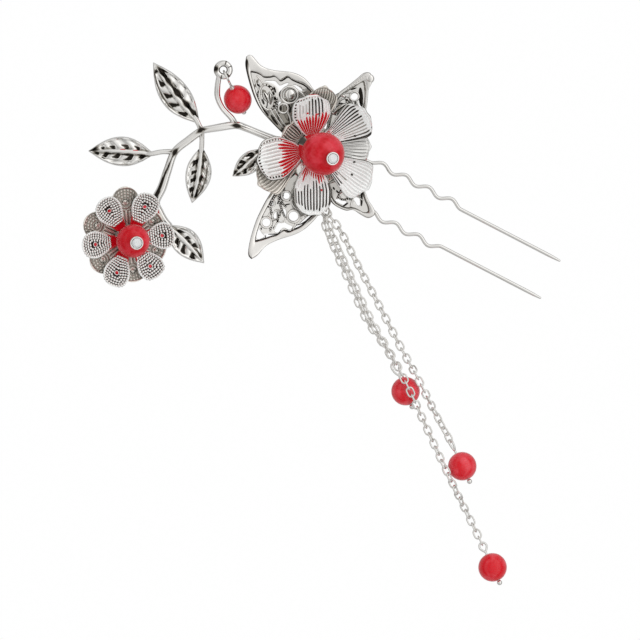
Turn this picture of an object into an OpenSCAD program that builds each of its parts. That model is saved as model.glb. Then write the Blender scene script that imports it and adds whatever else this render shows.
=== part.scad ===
// Flower and butterfly hairpin with three bead drops, lying on its back.
// X runs along the fork's legs to their tips, Z is up, and the surface it lies on is z = 0.
// The origin is on the underside of the solder pad, midway between the legs.

/* [Hair fork] */
// Diameter of the fork's wire
wire_d = 0.8; // [0.6:0.1:1.2]
// Distance between the two legs, centre to centre
leg_gap = 8.8; // [7:0.1:12]
// Length of a leg from the pad's centre to its tip
leg_len = 55.4; // [45:1:90]
// Distance from the pad's centre to the first crimp
crimp_start = 10.3; // [9:0.1:16]
// Number of crimps on each leg
crimp_count = 4; // [2:1:5]
// Length of one crimp
crimp_pitch = 5.4; // [4.5:0.1:6.5]
// Height of one crimp
crimp_rise = 1.1; // [0.6:0.1:1.6]
// Diameter of the solder pad
pad_d = 13; // [12:0.5:16]
// Thickness of the solder pad
pad_t = 0.9; // [0.8:0.1:1.5]

/* [Flower stack] */
// Turn of the ornament about Z against the fork
lay_turn = 27.4; // [0:0.1:45]
// Place of the bead's centre along the legs
bead_x = 0.9; // [-1:0.1:2]
// Place of the flower across the legs
stack_y = 1.3; // [-2:0.1:2]
// Lean of the post and its bead towards the fork's tips
post_lean = 24; // [0:1:28]
// Lean of the two large flowers
flower_lean = 14; // [0:1:16]
// Diameter of the post
post_d = 1.2; // [0.9:0.1:1.4]
// Running gap between pieces that are threaded on a post
fit = 0.1; // [0.05:0.01:0.2]
// Diameter of the large bead
main_bead_d = 9; // [7:0.1:11]

/* [Large flower] */
// Reach of a petal from the flower's centre
petal_reach = 13.2; // [10:0.1:16]
// Width of a petal where it is widest
petal_wide = 9.2; // [6:0.1:11]
// Radius of the flat hub between the petals
hub_r = 3; // [2.5:0.1:4]
// Thickness of the petal metal
petal_t = 0.55; // [0.4:0.05:1]
// Rise of the petal tips above the hub
petal_cup = 2.8; // [1:0.1:5]
// Number of flutes across a petal
flute_count = 12; // [6:1:14]
// Half of the depth of a flute
flute_h = 0.16; // [0.05:0.01:0.3]
// Reach of a petal of the flower behind
back_reach = 13.2; // [10:0.1:16]
// Width of a petal of the flower behind
back_wide = 8.4; // [6:0.1:11]
// Rise of the petal tips of the flower behind
back_cup = 2.2; // [1:0.1:4]

/* [Butterfly] */
// Thickness of the pierced plate
plate_t = 0.7; // [0.5:0.05:1.2]
// Height of the border and rings above the plate
border_h = 0.5; // [0.2:0.05:1]
// Radius of the bowl that the wings follow
bowl_r = 110; // [90:5:300]
// Radius of the solid middle
middle_r = 5.2; // [4.5:0.1:7]
// Length of the upper left wing from the origin to its tip
wing_ul = 26; // [20:0.5:32]
// Length of the lower left wing
wing_ll = 25.2; // [20:0.5:32]
// Length of the upper right wing
wing_ur = 21; // [16:0.5:26]
// Length of the lower right wing
wing_lr = 17; // [14:0.5:22]

/* [Branch] */
// Thickness of the main stem
stem_d = 1.6; // [1.2:0.1:2.2]
// Thickness of the side stem where it reaches the small flower
side_end_d = 2.1; // [1.4:0.1:2.4]
// Thickness of the twigs
twig_d = 1.2; // [0.9:0.1:1.6]
// Thickness of the branch's flat eye on the post
eye_t = 0.8; // [0.6:0.1:1.2]
// Thickness of a leaf
leaf_t = 0.6; // [0.4:0.05:1]
// Height of a leaf's rim and ribs
leaf_rib = 0.35; // [0.1:0.05:0.6]
// Diameter of the rolled twig end, outside
curl_d = 4; // [3.4:0.1:5]
// Thickness of the rolled twig end
curl_wire = 1.3; // [1:0.1:1.5]
// Diameter of the berry bead
berry_d = 6; // [5:0.1:7]

/* [Small flower] */
// Reach of its petals
small_reach = 10.8; // [9:0.1:12]
// Width of its petals
small_wide = 5.6; // [4:0.1:7]
// Rise of its front petals
small_cup = 2.6; // [1:0.1:4]
// Rise of its back petals
small_back_cup = 1.6; // [0.5:0.1:3]
// Lean of the small flower
small_lean = 12; // [0:1:14]
// Diameter of its bead
small_bead_d = 7; // [5:0.1:8]
// Diameter of its post
small_post_d = 1; // [0.8:0.1:1.2]

/* [Stones] */
// Diameter of a cut stone
stone_d = 2.1; // [1.5:0.1:2.5]
// Wall of a stone's cup
cup_wall = 0.3; // [0.2:0.05:0.5]
// Depth of a stone's cup
cup_h = 1; // [0.8:0.1:1.4]
// Number of main facets round a stone
facet_count = 8; // [8:1:12]

/* [Chains] */
// Thickness of a link's wire
link_wire = 0.36; // [0.3:0.01:0.4]
// Length of a link, outside
link_len = 2.45; // [2.2:0.05:2.8]
// Width of a link, outside
link_wide = 1.75; // [1.6:0.05:2]
// Clearance between one link and the next
link_gap = 0.14; // [0.08:0.01:0.15]
// Mean radius of the jump ring
jump_r = 1.9; // [1.7:0.1:2.2]
// Thickness of the jump ring's wire
jump_wire = 0.5; // [0.4:0.05:0.6]

/* [Drops] */
// Diameter of a drop bead
drop_d = 6; // [5:0.1:7]
// Thickness of a head pin
pin_d = 0.5; // [0.4:0.05:0.6]
// Diameter of a head pin's ball
ball_d = 1.1; // [0.9:0.1:1.4]
// Droop of a head pin's loop towards the surface
pin_droop = 9; // [0:1:15]

/* [Spaces] */
// Height of the post's bend above the butterfly
bend_gap = 0.6; // [0.5:0.1:1]
// Height of the flower behind above the butterfly's border
flower_gap = 2.3; // [2:0.1:3]
// Diameter of the branch's flat eye
branch_eye_d = 4.4; // [4:0.1:5]

/* [Hidden] */

silver = "silver";
coral = "crimson";
clear = "lightcyan";

// Smoothness of round solids
round_fn = 48;
// A little overlap, so that fused shapes share metal
lap = 0.2;

// Heights in the stack
eye_z = pad_t + fit;
plate_z = eye_z + eye_t + fit;
bend_z = plate_z + plate_t + bend_gap;
back_z = plate_z + plate_t + border_h + flower_gap;
main_z = back_z + petal_t + 2 * flute_h + fit;
bead_z = main_z + 0.5 + main_bead_d / 2;
bead_bore = post_d + 2 * fit;

// The post stands on the pad, bends just above the butterfly and leans to the bead's centre
bend_x = bead_x - (bead_z - bend_z) * tan(post_lean);
function post_x(z) = bend_x + (z - bend_z) * tan(post_lean);

// The small flower's place on the ornament, and its heights
small_at = [-39.6, -16.8];
foot_t = 1.4;
small_disc_t = 0.8;
small_back_z = foot_t + small_disc_t + 1.6;
small_front_z = small_back_z + petal_t + fit + 0.35;
small_bead_z = small_front_z + 0.7 + small_bead_d / 2;

// Half width of a petal: share of the reach, share of the half width
petal_shape = [[0, 0.28], [0.3, 0.52], [0.6, 0.84], [0.82, 1], [0.94, 0.9], [1, 0.66]];
oval_shape = [[0, 0.33], [0.13, 0.58], [0.33, 0.86], [0.5, 1], [0.67, 1], [0.8, 0.98], [0.92, 0.88], [1, 0.72]];
spoon_shape = [[0, 0.42], [0.2, 0.55], [0.42, 0.85], [0.62, 1], [0.78, 0.98], [0.9, 0.88], [1, 0.68]];
leaf_shape = [[0, 0.2], [0.15, 0.55], [0.35, 0.93], [0.5, 1], [0.7, 0.8], [0.88, 0.4], [1, 0.05]];

// Petals of the large flowers, round the hub: direction on the ornament, share of the reach, share of the width, shape.
// Two petals of the flower behind stay short, where the wings' roots take their place.
main_petals = [
    [-93, 1.04, 0.86, oval_shape], [-34, 1.05, 0.95, petal_shape], [35, 1.03, 0.9, petal_shape],
    [96, 0.89, 0.9, oval_shape], [191, 0.97, 0.98, oval_shape]
];
back_petals = [
    [-148, 1.05, 0.95, petal_shape], [-70, 0.6, 0.9, oval_shape], [2, 0.93, 0.95, petal_shape],
    [80, 1.02, 0.72, petal_shape], [140, 0.55, 0.8, oval_shape]
];
small_front_petals = [for (p = [[7, 0.86], [67, 0.98], [127, 1], [187, 0.98], [247, 0.97], [307, 0.9]])
    [p[0], p[1], 1, spoon_shape]];
small_back_petals = [for (p = [[37, 0.76], [97, 1.04], [157, 0.98], [217, 0.92], [277, 0.84], [337, 0.76]])
    [p[0], p[1], 1, spoon_shape]];

// Wings: distance along the wing, left edge and right edge, all as shares of its length
edge_ul = [
    [0.1, 0.06, -0.1], [0.3, 0.13, -0.24], [0.45, 0.19, -0.3], [0.57, 0.19, -0.29], [0.69, 0.155, -0.22],
    [0.8, 0.12, -0.095], [0.88, 0.09, -0.05], [0.95, 0.055, -0.042], [1, 0.01, -0.01]
];
edge_ll = [
    [0.1, 0.1, -0.08], [0.3, 0.23, -0.14], [0.42, 0.27, -0.165], [0.55, 0.235, -0.165], [0.64, 0.185, -0.155],
    [0.75, 0.1, -0.135], [0.85, 0.045, -0.11], [0.95, 0.03, -0.07], [1, 0.005, -0.02]
];
edge_ur = [
    [0.12, 0.1, -0.1], [0.35, 0.25, -0.22], [0.55, 0.27, -0.21], [0.65, 0.225, -0.16], [0.74, 0.155, -0.09],
    [0.83, 0.11, -0.045], [0.92, 0.085, -0.06], [0.98, 0.05, -0.045], [1, 0.01, -0.01]
];
edge_lr = [
    [0.12, 0.1, -0.12], [0.35, 0.21, -0.25], [0.5, 0.2, -0.275], [0.6, 0.17, -0.27], [0.72, 0.11, -0.215],
    [0.83, 0.055, -0.155], [0.93, 0.02, -0.135], [0.98, 0.0, -0.11], [1, -0.02, -0.07]
];
// Openings: along, across, length and width as shares of the wing's length, turn against the wing
open_ul = [
    [0.6, 0.06, 0.14, 0.07, 10], [0.8, 0.04, 0.09, 0.05, 20], [0.66, -0.06, 0.15, 0.07, -25],
    [0.5, -0.17, 0.1, 0.1, 0], [0.4, -0.04, 0.13, 0.06, -15], [0.44, 0.1, 0.13, 0.05, 8],
    [0.33, -0.16, 0.09, 0.06, 0], [0.56, -0.07, 0.05, 0.05, 0]
];
open_ll = [
    [0.85, -0.045, 0.1, 0.05, -10], [0.74, -0.055, 0.07, 0.07, 0], [0.61, -0.03, 0.13, 0.045, 15],
    [0.55, -0.12, 0.06, 0.035, 0], [0.42, -0.04, 0.06, 0.06, 0], [0.5, 0.045, 0.11, 0.04, 10],
    [0.5, 0.125, 0.08, 0.08, 0], [0.65, 0.095, 0.14, 0.06, 35], [0.36, 0.19, 0.12, 0.035, 35]
];
open_ur = [
    [0.71, 0.01, 0.07, 0.07, 0], [0.56, 0.14, 0.16, 0.07, 0], [0.58, -0.1, 0.13, 0.07, 0],
    [0.85, 0.04, 0.07, 0.04, 0], [0.4, 0.02, 0.08, 0.06, 0]
];
open_lr = [
    [0.54, -0.15, 0.2, 0.07, -35], [0.68, -0.045, 0.16, 0.08, 5], [0.42, 0.04, 0.1, 0.08, 0],
    [0.74, -0.13, 0.09, 0.03, -35]
];
// Width of the plain border as a share of a wing's length
border_share = 0.045;
// Wings: turn on the ornament, length, edges, openings
wings = [
    [124, wing_ul, edge_ul, open_ul],
    [-122.5, wing_ll, edge_ll, open_ll],
    [56.7, wing_ur, edge_ur, open_ur],
    [-42.6, wing_lr, edge_lr, open_lr]
];

// The eye between the lower wings that the jump ring hangs from
hang_turn = -60;
eye_at = [5, -5.6];
eye_hole_r = jump_wire / 2 + fit + 0.45;
eye_rim = 0.8;
jump_z = jump_r + jump_wire / 2 + fit;

// Branch: stem and twig routes on the ornament, in order from the root
strap_end = [-7.6, 3.5];
main_stem = [[-7.6, 3.5, 1.1], [-11, 4.8, 1.4], [-14.5, 6.2, 1.9], [-16.9, 6.9, 2.8], [-20.5, 6.4, 3.3],
    [-24.1, 5.8, 3.3]];
side_stem = [[-24.1, 5.8, 3.3], [-26.8, 3.8, 3.2], [-29.7, 1.3, 3], [-31.2, -2.6, 2.8], [-32.4, -6.2, 2.6],
    [-33.8, -9.2, 2.4], [-33, -11.4, 2.2]];
curl_twig = [[-16.9, 6.9, 2.8], [-17.8, 8.4, 3.3], [-19.7, 10.5, 4.2], [-20.7, 12.8, 5.3], [-20.7, 15, 6.4],
    [-20.4, 17, 7]];
flower_twig = [[-33.8, -9.2, 2.4], [-36, -12.5, 1.8], [-39.6, -16.8, 1.1]];
low_twig = [[-33, -11.4, 2.2], [-32, -13.2, 2], [-31.1, -14.3, 1.9]];
top_twig = [[-24.1, 5.8, 3.3], [-25, 7.7, 3.2]];
mid_twig = [[-24.1, 5.8, 3.3], [-24, 4, 3], [-24.1, 2, 2.7]];
left_twig = [[-29.7, 1.3, 3], [-32.4, 1.3, 3], [-34.6, 0.9, 2.9]];
root_twig = [[-7.6, 3.5, 1.1], [-9.2, 2.3, 1.3], [-11.2, 1.7, 1.4]];
// Leaves: base, tip, width, height at the base, height at the tip
leaves = [
    [[-25, 7.7], [-34.2, 20], 6.4, 3, 3.6],
    [[-34.6, 0.9], [-47.8, 1.5], 6.4, 2.7, 2],
    [[-24.1, 2], [-26.1, -9.4], 5.6, 2.5, 1.4],
    [[-31.1, -14.3], [-23.6, -22], 5.8, 1.7, 1.2],
    [[-11.2, 1.7], [-17.6, -3.8], 4.6, 1.4, 2.6]
];
curl_at = [-19.5, 18.4, 7];
berry_at = [-16.5, 12.3, 3.1];

// Points of the chain routes between the jump ring and the head pins' loops: x, y, z
way_short = [[7.5, -11, 0.98], [10.4, -13.8, 0.95], [16.6, -18.7, 0.95], [24.3, -24.8, 0.95], [27.4, -26.6, 0.98],
    [30.2, -28, 1.12]];
way_mid = [[9.9, -10.3, 1.9], [12.4, -11.8, 1.3], [17.8, -15.7, 0.95], [26.1, -21.5, 0.95], [33, -26.4, 0.95],
    [36.8, -29, 2.4], [39.2, -30.6, 4.5], [41.2, -32, 5.15], [43, -33.3, 4.5], [45.6, -35.2, 2.4],
    [48.2, -37, 1.2]];
way_long = [[8.6, -11.2, 3.6], [11, -13.2, 3], [17, -18, 2.85], [24.7, -24.1, 2.85], [30.6, -28, 3.15],
    [33.6, -29.9, 4.5], [36.3, -31.7, 6.1], [38.8, -33.5, 7.05], [41.4, -35.5, 6.4], [44.4, -37.9, 4.4],
    [47.6, -40.4, 3.4], [51, -43.1, 4.2], [54.8, -46, 5.2], [58, -48.4, 3.9], [61, -50.6, 1.7],
    [63.6, -52.5, 1.1]];
// Drops: bead's place on the surface, turn of the pin, length, width and roll of its loop
drop_short = [[39.1, -34.8], -40, 3.4, 2.1, 0];
drop_mid = [[56.9, -43.3], -37, 3, 1.9, 60];
drop_long = [[72.3, -59.2], -38, 2.5, 2, 0];
// Way that each chain leaves the jump ring: turn, angle on the ring, rise
leave_short = [-80, -28, -16];
leave_mid = [-30, 0, 0];
leave_long = [-62, 28, 20];
// Links over which a chain turns to lie aslant, at either end
slant_links = 9;
// Wire of a head pin's loop, and the pin's stretch between bead and loop
loop_wire = pin_d * 0.9;
pin_neck = 0.4;
bore_d = pin_d + 2 * fit;

function unit(v) = v / norm(v);

// Catmull-Rom curve through points, with a number of steps between each two
function spline(a, b, c, d, t) =
    (2 * b + (c - a) * t + (2 * a - 5 * b + 4 * c - d) * t * t + (3 * b - a - 3 * c + d) * t * t * t) / 2;
function curve(p, steps) = [
    for (i = [0:len(p) - 2], k = [0:steps - 1])
        spline(p[max(i - 1, 0)], p[i], p[i + 1], p[min(i + 2, len(p) - 1)], k / steps),
    p[len(p) - 1]
];

// Distance run along a path up to each of its points
function runs(p, i = 0, sum = 0, out = []) =
    i == len(p) ? out :
    let (next = i == 0 ? 0 : sum + norm(p[i] - p[i - 1]))
    runs(p, i + 1, next, concat(out, [next]));
// Point of a path at a distance along it
function at(p, r, s) =
    let (i = min(len([for (x = r) if (x <= s) 1]), len(p) - 1))
    p[i - 1] + (p[i] - p[i - 1]) * (s - r[i - 1]) / (r[i] - r[i - 1]);

// Tube along a path, with one radius
module tube(path, r, sides) {
    n = len(path);
    points = [
        for (i = [0:n - 1])
            let (t = unit(path[min(i + 1, n - 1)] - path[max(i - 1, 0)]),
                 side = unit(cross([0, 0, 1], t)), up = cross(t, side))
            for (k = [0:sides - 1])
                path[i] + r * (cos(360 * k / sides) * side + sin(360 * k / sides) * up)
    ];
    walls = [
        for (i = [0:n - 2], k = [0:sides - 1])
            let (m = (k + 1) % sides)
            [i * sides + k, (i + 1) * sides + k, (i + 1) * sides + m, i * sides + m]
    ];
    start = [for (k = [0:sides - 1]) k];
    end = [for (k = [sides - 1:-1:0]) (n - 1) * sides + k];
    polyhedron(points, concat(walls, [start, end]));
}

// Rounded stem along a path, thinner towards its end
module stem(path, d0, d1) {
    n = len(path) - 1;
    for (i = [0:n - 1])
        hull() {
            translate(path[i]) sphere(d = d0 + (d1 - d0) * i / n, $fn = 8);
            translate(path[i + 1]) sphere(d = d0 + (d1 - d0) * (i + 1) / n, $fn = 8);
        }
}

// One layer of petals, stamped from sheet with a flat hub and a hole for the post
module petal_layer(petals_of, reach, wide, cup, hole_r, cols, rows, flute, tip_round) {
    n = len(petals_of);
    ring = n * (cols + 1);
    top = [
        for (petal = petals_of, j = [0:rows], i = [0:cols])
            let (turn = petal[0], own = (reach * petal[1] - hub_r) / (reach - hub_r), u = 2 * i / cols - 1, v = j / rows,
                 across = wide * petal[2] / 2 * lookup(v, petal[3]) * u,
                 along = hub_r + (reach - hub_r) * own * v * (1 - tip_round * u * u * v),
                 groove = flute * (i % 2 == 0 ? 1 : -1) * sin(180 * v),
                 z = cup * pow(own * v, 1.5) + groove)
            [along * cos(turn) - across * sin(turn), along * sin(turn) + across * cos(turn), z]
    ];
    size = len(top);
    bottom = [for (p = top) p - [0, 0, petal_t]];
    function id(k, j, i) = (k * (rows + 1) + j) * (cols + 1) + i;
    // Ids of the points that meet the hub, in order round it
    root = [for (k = [0:n - 1], i = [0:cols]) id(k, 0, i)];
    hole = [for (r = root) hole_r * unit([top[r].x, top[r].y, 0])];
    hole_top = 2 * size;
    hole_bottom = hole_top + ring;
    petals = [
        for (k = [0:n - 1], j = [0:rows - 1], i = [0:cols - 1])
            [id(k, j, i), id(k, j, i + 1), id(k, j + 1, i + 1), id(k, j + 1, i)]
    ];
    rims = concat(
        [for (k = [0:n - 1], j = [0:rows - 1]) [id(k, j, 0), id(k, j + 1, 0)]],
        [for (k = [0:n - 1], j = [0:rows - 1]) [id(k, j + 1, cols), id(k, j, cols)]],
        [for (k = [0:n - 1], i = [0:cols - 1]) [id(k, rows, i), id(k, rows, i + 1)]],
        [for (k = [0:n - 1]) [id(k, 0, cols), id((k + 1) % n, 0, 0)]]
    );
    polyhedron(
        concat(top, bottom, hole, [for (h = hole) h - [0, 0, petal_t]]),
        concat(
            [for (f = petals) f],
            [for (f = petals) [for (i = [3:-1:0]) f[i] + size]],
            [for (e = rims) [e[0], e[1], e[1] + size, e[0] + size]],
            [for (q = [0:ring - 1]) let (m = (q + 1) % ring)
                [hole_top + q, hole_top + m, root[m], root[q]]],
            [for (q = [0:ring - 1]) let (m = (q + 1) % ring)
                [root[q] + size, root[m] + size, hole_bottom + m, hole_bottom + q]],
            [for (q = [0:ring - 1]) let (m = (q + 1) % ring)
                [hole_top + m, hole_top + q, hole_bottom + q, hole_bottom + m]]
        )
    );
}

// One leaf with a raised rim, midrib and side veins
module leaf(base, tip, wide, base_z, tip_z) {
    cols = 8;
    rows = 12;
    way = tip - base;
    dir = unit(way);
    top = [
        for (j = [0:rows], i = [0:cols])
            let (u = 2 * i / cols - 1, v = j / rows,
                 across = wide / 2 * lookup(v, leaf_shape) * u,
                 rim = i == 0 || i == cols || i == cols / 2 ? 1 : 0,
                 vein = j % 2 == 1 ? 0.7 : 0,
                 z = base_z + (tip_z - base_z) * v + 0.5 * sin(180 * v) + leaf_rib * max(rim, vein))
            [base.x + way.x * v - across * dir.y, base.y + way.y * v + across * dir.x, z]
    ];
    size = len(top);
    function id(j, i) = j * (cols + 1) + i;
    skin = [for (j = [0:rows - 1], i = [0:cols - 1]) [id(j, i), id(j, i + 1), id(j + 1, i + 1), id(j + 1, i)]];
    edge = concat(
        [for (j = [0:rows - 1]) [id(j, 0), id(j + 1, 0)]],
        [for (j = [0:rows - 1]) [id(j + 1, cols), id(j, cols)]],
        [for (i = [0:cols - 1]) [id(rows, i), id(rows, i + 1)]],
        [for (i = [0:cols - 1]) [id(0, i + 1), id(0, i)]]
    );
    polyhedron(
        concat(top, [for (p = top) [p.x, p.y, p.z - leaf_t]]),
        concat(
            skin,
            [for (f = skin) [for (i = [3:-1:0]) f[i] + size]],
            [for (e = edge) [e[0], e[1], e[1] + size, e[0] + size]]
        )
    );
}

module on_ornament() {
    rotate([0, 0, lay_turn]) children();
}

module on_post(z, lean) {
    translate([post_x(z), stack_y, z]) rotate([0, lean, 0]) children();
}

module on_small_post(z) {
    rotate([0, 0, lay_turn]) translate(concat(small_at, foot_t + small_disc_t))
        rotate([0, 0, -lay_turn]) rotate([0, small_lean, 0])
        translate([0, 0, z - foot_t - small_disc_t]) children();
}

// Crimps of one leg, as a path from the pad to the straight end
function crimp_path(side) = [
    for (k = [0:crimp_count * 8])
        [crimp_start + k * crimp_pitch / 8, side * (leg_gap / 2 + crimp_rise * (1 - cos(45 * k)) / 2), wire_d / 2]
];
crimp_end = crimp_start + crimp_count * crimp_pitch;

module pin_fork() {
    color(silver) union() {
        cylinder(d = pad_d, h = pad_t, $fn = round_fn);
        for (side = [-1, 1]) {
            // The wire runs on under the pad
            translate([0, side * leg_gap / 2, wire_d / 2]) rotate([0, 90, 0])
                cylinder(d = wire_d, h = crimp_start, $fn = round_fn);
            tube(concat(
                [[crimp_start - lap, side * leg_gap / 2, wire_d / 2]],
                crimp_path(side),
                [[crimp_end + lap, side * leg_gap / 2, wire_d / 2]]
            ), wire_d / 2 * 0.98, 10);
            // Straight end with a blunted tip
            translate([crimp_end, side * leg_gap / 2, wire_d / 2]) rotate([0, 90, 0]) rotate_extrude($fn = round_fn)
                polygon([
                    [0, 0], [wire_d / 2, 0], [wire_d / 2, leg_len - crimp_end - wire_d / 2],
                    [wire_d / 4, leg_len - crimp_end], [0, leg_len - crimp_end]
                ]);
        }
    }
}

// Cup of a cut stone, open upwards, with its floor at z = 0
module stone_cup() {
    r = stone_d / 2 + fit / 2;
    rotate_extrude($fn = round_fn)
        polygon([
            [0, -lap], [r * 0.7, -lap], [r + cup_wall * 0.6, 0.2], [r + cup_wall, cup_h * 0.5], [r + cup_wall, cup_h],
            [r, cup_h], [r, cup_h * 0.45], [0, cup_h * 0.45]
        ]);
}

// Cut stone: pavilion in the cup, girdle, crown and table
module cut_stone() {
    seat = cup_h * 0.45 + fit / 2;
    crown = stone_d * 0.22;
    color(clear) translate([0, 0, seat]) rotate([0, 0, 180 / facet_count]) {
        cylinder(d1 = stone_d * 0.5, d2 = stone_d, h = cup_h - seat, $fn = facet_count);
        translate([0, 0, cup_h - seat - 0.001])
            cylinder(d1 = stone_d, d2 = stone_d * 0.6, h = crown, $fn = facet_count);
    }
}

cup_on_bead = main_bead_d / 2 - 0.04;
cup_on_small = small_bead_d / 2 - 0.02;

module centre_post() {
    reach = (bead_z - bend_z) / cos(post_lean) + cup_on_bead + fit;
    color(silver) union() {
        translate([bend_x, stack_y, pad_t]) cylinder(d = post_d, h = bend_z - pad_t, $fn = round_fn);
        translate([bend_x, stack_y, bend_z]) sphere(d = post_d * 1.12, $fn = round_fn);
        translate([bend_x, stack_y, bend_z]) rotate([0, post_lean, 0]) {
            cylinder(d = post_d, h = reach, $fn = round_fn);
            translate([0, 0, reach + lap]) stone_cup();
        }
    }
}

module main_stone() {
    reach = (bead_z - bend_z) / cos(post_lean) + cup_on_bead + fit;
    translate([bend_x, stack_y, bend_z]) rotate([0, post_lean, 0]) translate([0, 0, reach + lap]) cut_stone();
}

module drilled_bead(d, bore) {
    color(coral) difference() {
        sphere(d = d, $fn = 80);
        cylinder(d = bore, h = d + 1, center = true, $fn = round_fn);
    }
}

module main_bead() {
    on_post(bead_z, post_lean) drilled_bead(main_bead_d, bead_bore);
}

module main_flower() {
    color(silver) on_post(main_z, flower_lean) rotate([0, 0, lay_turn])
        petal_layer(main_petals, petal_reach, petal_wide, petal_cup, bead_bore / 2 + 0.15,
            2 * flute_count, 5, flute_h, 0.12);
}

module back_flower() {
    color(silver) on_post(back_z, flower_lean) rotate([0, 0, lay_turn])
        petal_layer(back_petals, back_reach, back_wide, back_cup, bead_bore / 2 + 0.15,
            8, 4, flute_h, 0.12);
}

// Outline of a wing from its table of edges, drawn in by an inset, as far as the wing is wide enough
function wing_outline(edge, length, inset) =
    let (rows = [for (e = edge) if (inset == 0 || e[1] - e[2] > 3 * inset) e],
         left = [for (e = rows) [e[0], e[1] - inset]],
         right = [for (i = [len(rows) - 1:-1:0]) [rows[i][0], rows[i][2] + inset]])
    length * concat(curve(left, 3), curve(right, 3));

// Oval opening in a plate
module oval(x, y, long, wide, turn) {
    translate([x, y]) rotate(turn)
        polygon([for (a = [0:30:330]) [long / 2 * cos(a), wide / 2 * sin(a)]]);
}

module wing_plate(wing) {
    length = wing[1];
    rotate(wing[0]) difference() {
        polygon(wing_outline(wing[2], length, 0));
        for (o = wing[3]) oval(o[0] * length, o[1] * length, o[2] * length, o[3] * length, o[4]);
    }
}

module wing_border(wing) {
    rotate(wing[0]) difference() {
        polygon(wing_outline(wing[2], wing[1], 0));
        polygon(wing_outline(wing[2], wing[1], border_share));
    }
}

// Part of a bowl-shaped shell over a flat pattern
module bowl(t, drop) {
    intersection() {
        translate([0, 0, plate_z - 1]) linear_extrude(bowl_r / 9) children();
        difference() {
            translate([0, 0, plate_z - drop + bowl_r]) sphere(r = bowl_r, $fn = 120);
            translate([0, 0, plate_z + t + bowl_r]) sphere(r = bowl_r, $fn = 120);
        }
    }
}

module butterfly() {
    color(silver) difference() {
        union() {
            on_ornament() bowl(plate_t, 0) union() {
                for (wing = wings) wing_plate(wing);
                circle(r = middle_r, $fn = round_fn);
                rotate(-lay_turn) translate(eye_at) circle(r = eye_hole_r + eye_rim, $fn = round_fn);
            }
            on_ornament() for (wing = wings) bowl(plate_t + border_h, 0.03) wing_border(wing);
        }
        translate([bend_x, stack_y, 0]) cylinder(d = post_d * 1.12 + 2 * fit, h = bend_z + 1, $fn = round_fn);
        translate([eye_at.x, eye_at.y, 0]) cylinder(r = eye_hole_r, h = bend_z + 1, $fn = round_fn);
    }
}

module curl() {
    translate(curl_at) rotate_extrude($fn = 20) translate([(curl_d - curl_wire) / 2, 0]) circle(d = curl_wire, $fn = 8);
}

module branch() {
    color(silver) union() {
        on_ornament() {
            stem(curve(main_stem, 2), stem_d, stem_d);
            stem(curve(side_stem, 2), stem_d, side_end_d);
            stem(curve(curl_twig, 2), twig_d, twig_d);
            stem(flower_twig, twig_d, twig_d);
            stem(low_twig, twig_d, twig_d);
            stem(top_twig, twig_d, twig_d);
            stem(mid_twig, twig_d, twig_d);
            stem(left_twig, twig_d, twig_d);
            stem(root_twig, twig_d, twig_d);
            for (l = leaves) leaf(l[0], l[1], l[2], l[3], l[4]);
            curl();
            // Foot and disc under the small flower
            translate(concat(small_at, 0)) cylinder(r = 2, h = foot_t + lap, $fn = 24);
            translate(concat(small_at, foot_t)) cylinder(r = 3, h = small_disc_t, $fn = 24);
        }
        // Flat eye on the post, and its strap to the stem
        difference() {
            union() {
                translate([bend_x, stack_y, eye_z]) cylinder(d = branch_eye_d, h = eye_t, $fn = 32);
                hull() {
                    translate([bend_x, stack_y, eye_z]) cylinder(d = 2.4, h = eye_t, $fn = 24);
                    on_ornament() translate(concat(strap_end, eye_z)) cylinder(d = stem_d, h = eye_t, $fn = 24);
                }
            }
            translate([bend_x, stack_y, 0]) cylinder(d = bead_bore, h = bend_z, $fn = 24);
        }
    }
}

module small_post() {
    reach = (small_bead_z - foot_t - small_disc_t) + cup_on_small + fit;
    color(silver) on_small_post(foot_t + small_disc_t) union() {
        translate([0, 0, 0.15]) cylinder(d = small_post_d, h = reach - 0.15, $fn = round_fn);
        translate([0, 0, reach + lap]) stone_cup();
    }
}

module small_stone() {
    reach = (small_bead_z - foot_t - small_disc_t) + cup_on_small + fit;
    on_small_post(foot_t + small_disc_t) translate([0, 0, reach + lap]) cut_stone();
}

module small_bead() {
    on_small_post(small_bead_z) drilled_bead(small_bead_d, small_post_d + 2 * fit);
}

module small_layer(petals_of, cup) {
    rotate([0, 0, lay_turn])
        petal_layer(petals_of, small_reach, small_wide, cup, small_post_d / 2 + fit, 6, 6, 0.08, 0.1);
}

module small_flower_back() {
    color(silver) on_small_post(small_back_z) small_layer(small_back_petals, small_back_cup);
}

module small_flower_front() {
    color(silver) on_small_post(small_front_z) small_layer(small_front_petals, small_cup);
}

// Flat ring of wire, longer than wide, lying in the plane z = 0 along x
module long_ring(length, wide, d) {
    straight = length - wide;
    for (side = [-1, 1]) {
        translate([side * straight / 2, 0, 0]) rotate([0, 0, -90 * side]) rotate_extrude(angle = 180, $fn = round_fn)
            translate([(wide - d) / 2, 0]) circle(d = d, $fn = 24);
        translate([-straight / 2, side * (wide - d) / 2, 0]) rotate([0, 90, 0])
            cylinder(d = d, h = straight, $fn = 24);
    }
}

module berry_bead() {
    color(coral) on_ornament() translate(berry_at) point_at(berry_axis) drilled_bead(berry_d, bore_d);
}

// Turn z to a direction, keeping y level
module point_at(dir) {
    rotate([0, 0, atan2(dir.y, dir.x)]) rotate([0, atan2(norm([dir.x, dir.y]), dir.z), 0]) children();
}

// The berry's pin runs from the bead to the nearest point of the curl's wire
curl_r = (curl_d - curl_wire) / 2;
curl_side = unit([berry_at.x - curl_at.x, berry_at.y - curl_at.y, 0]);
curl_hook = curl_at + curl_r * curl_side;
berry_axis = unit(curl_hook - berry_at);
berry_loop_r = curl_wire / 2 + pin_d / 2 + 0.3;

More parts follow.
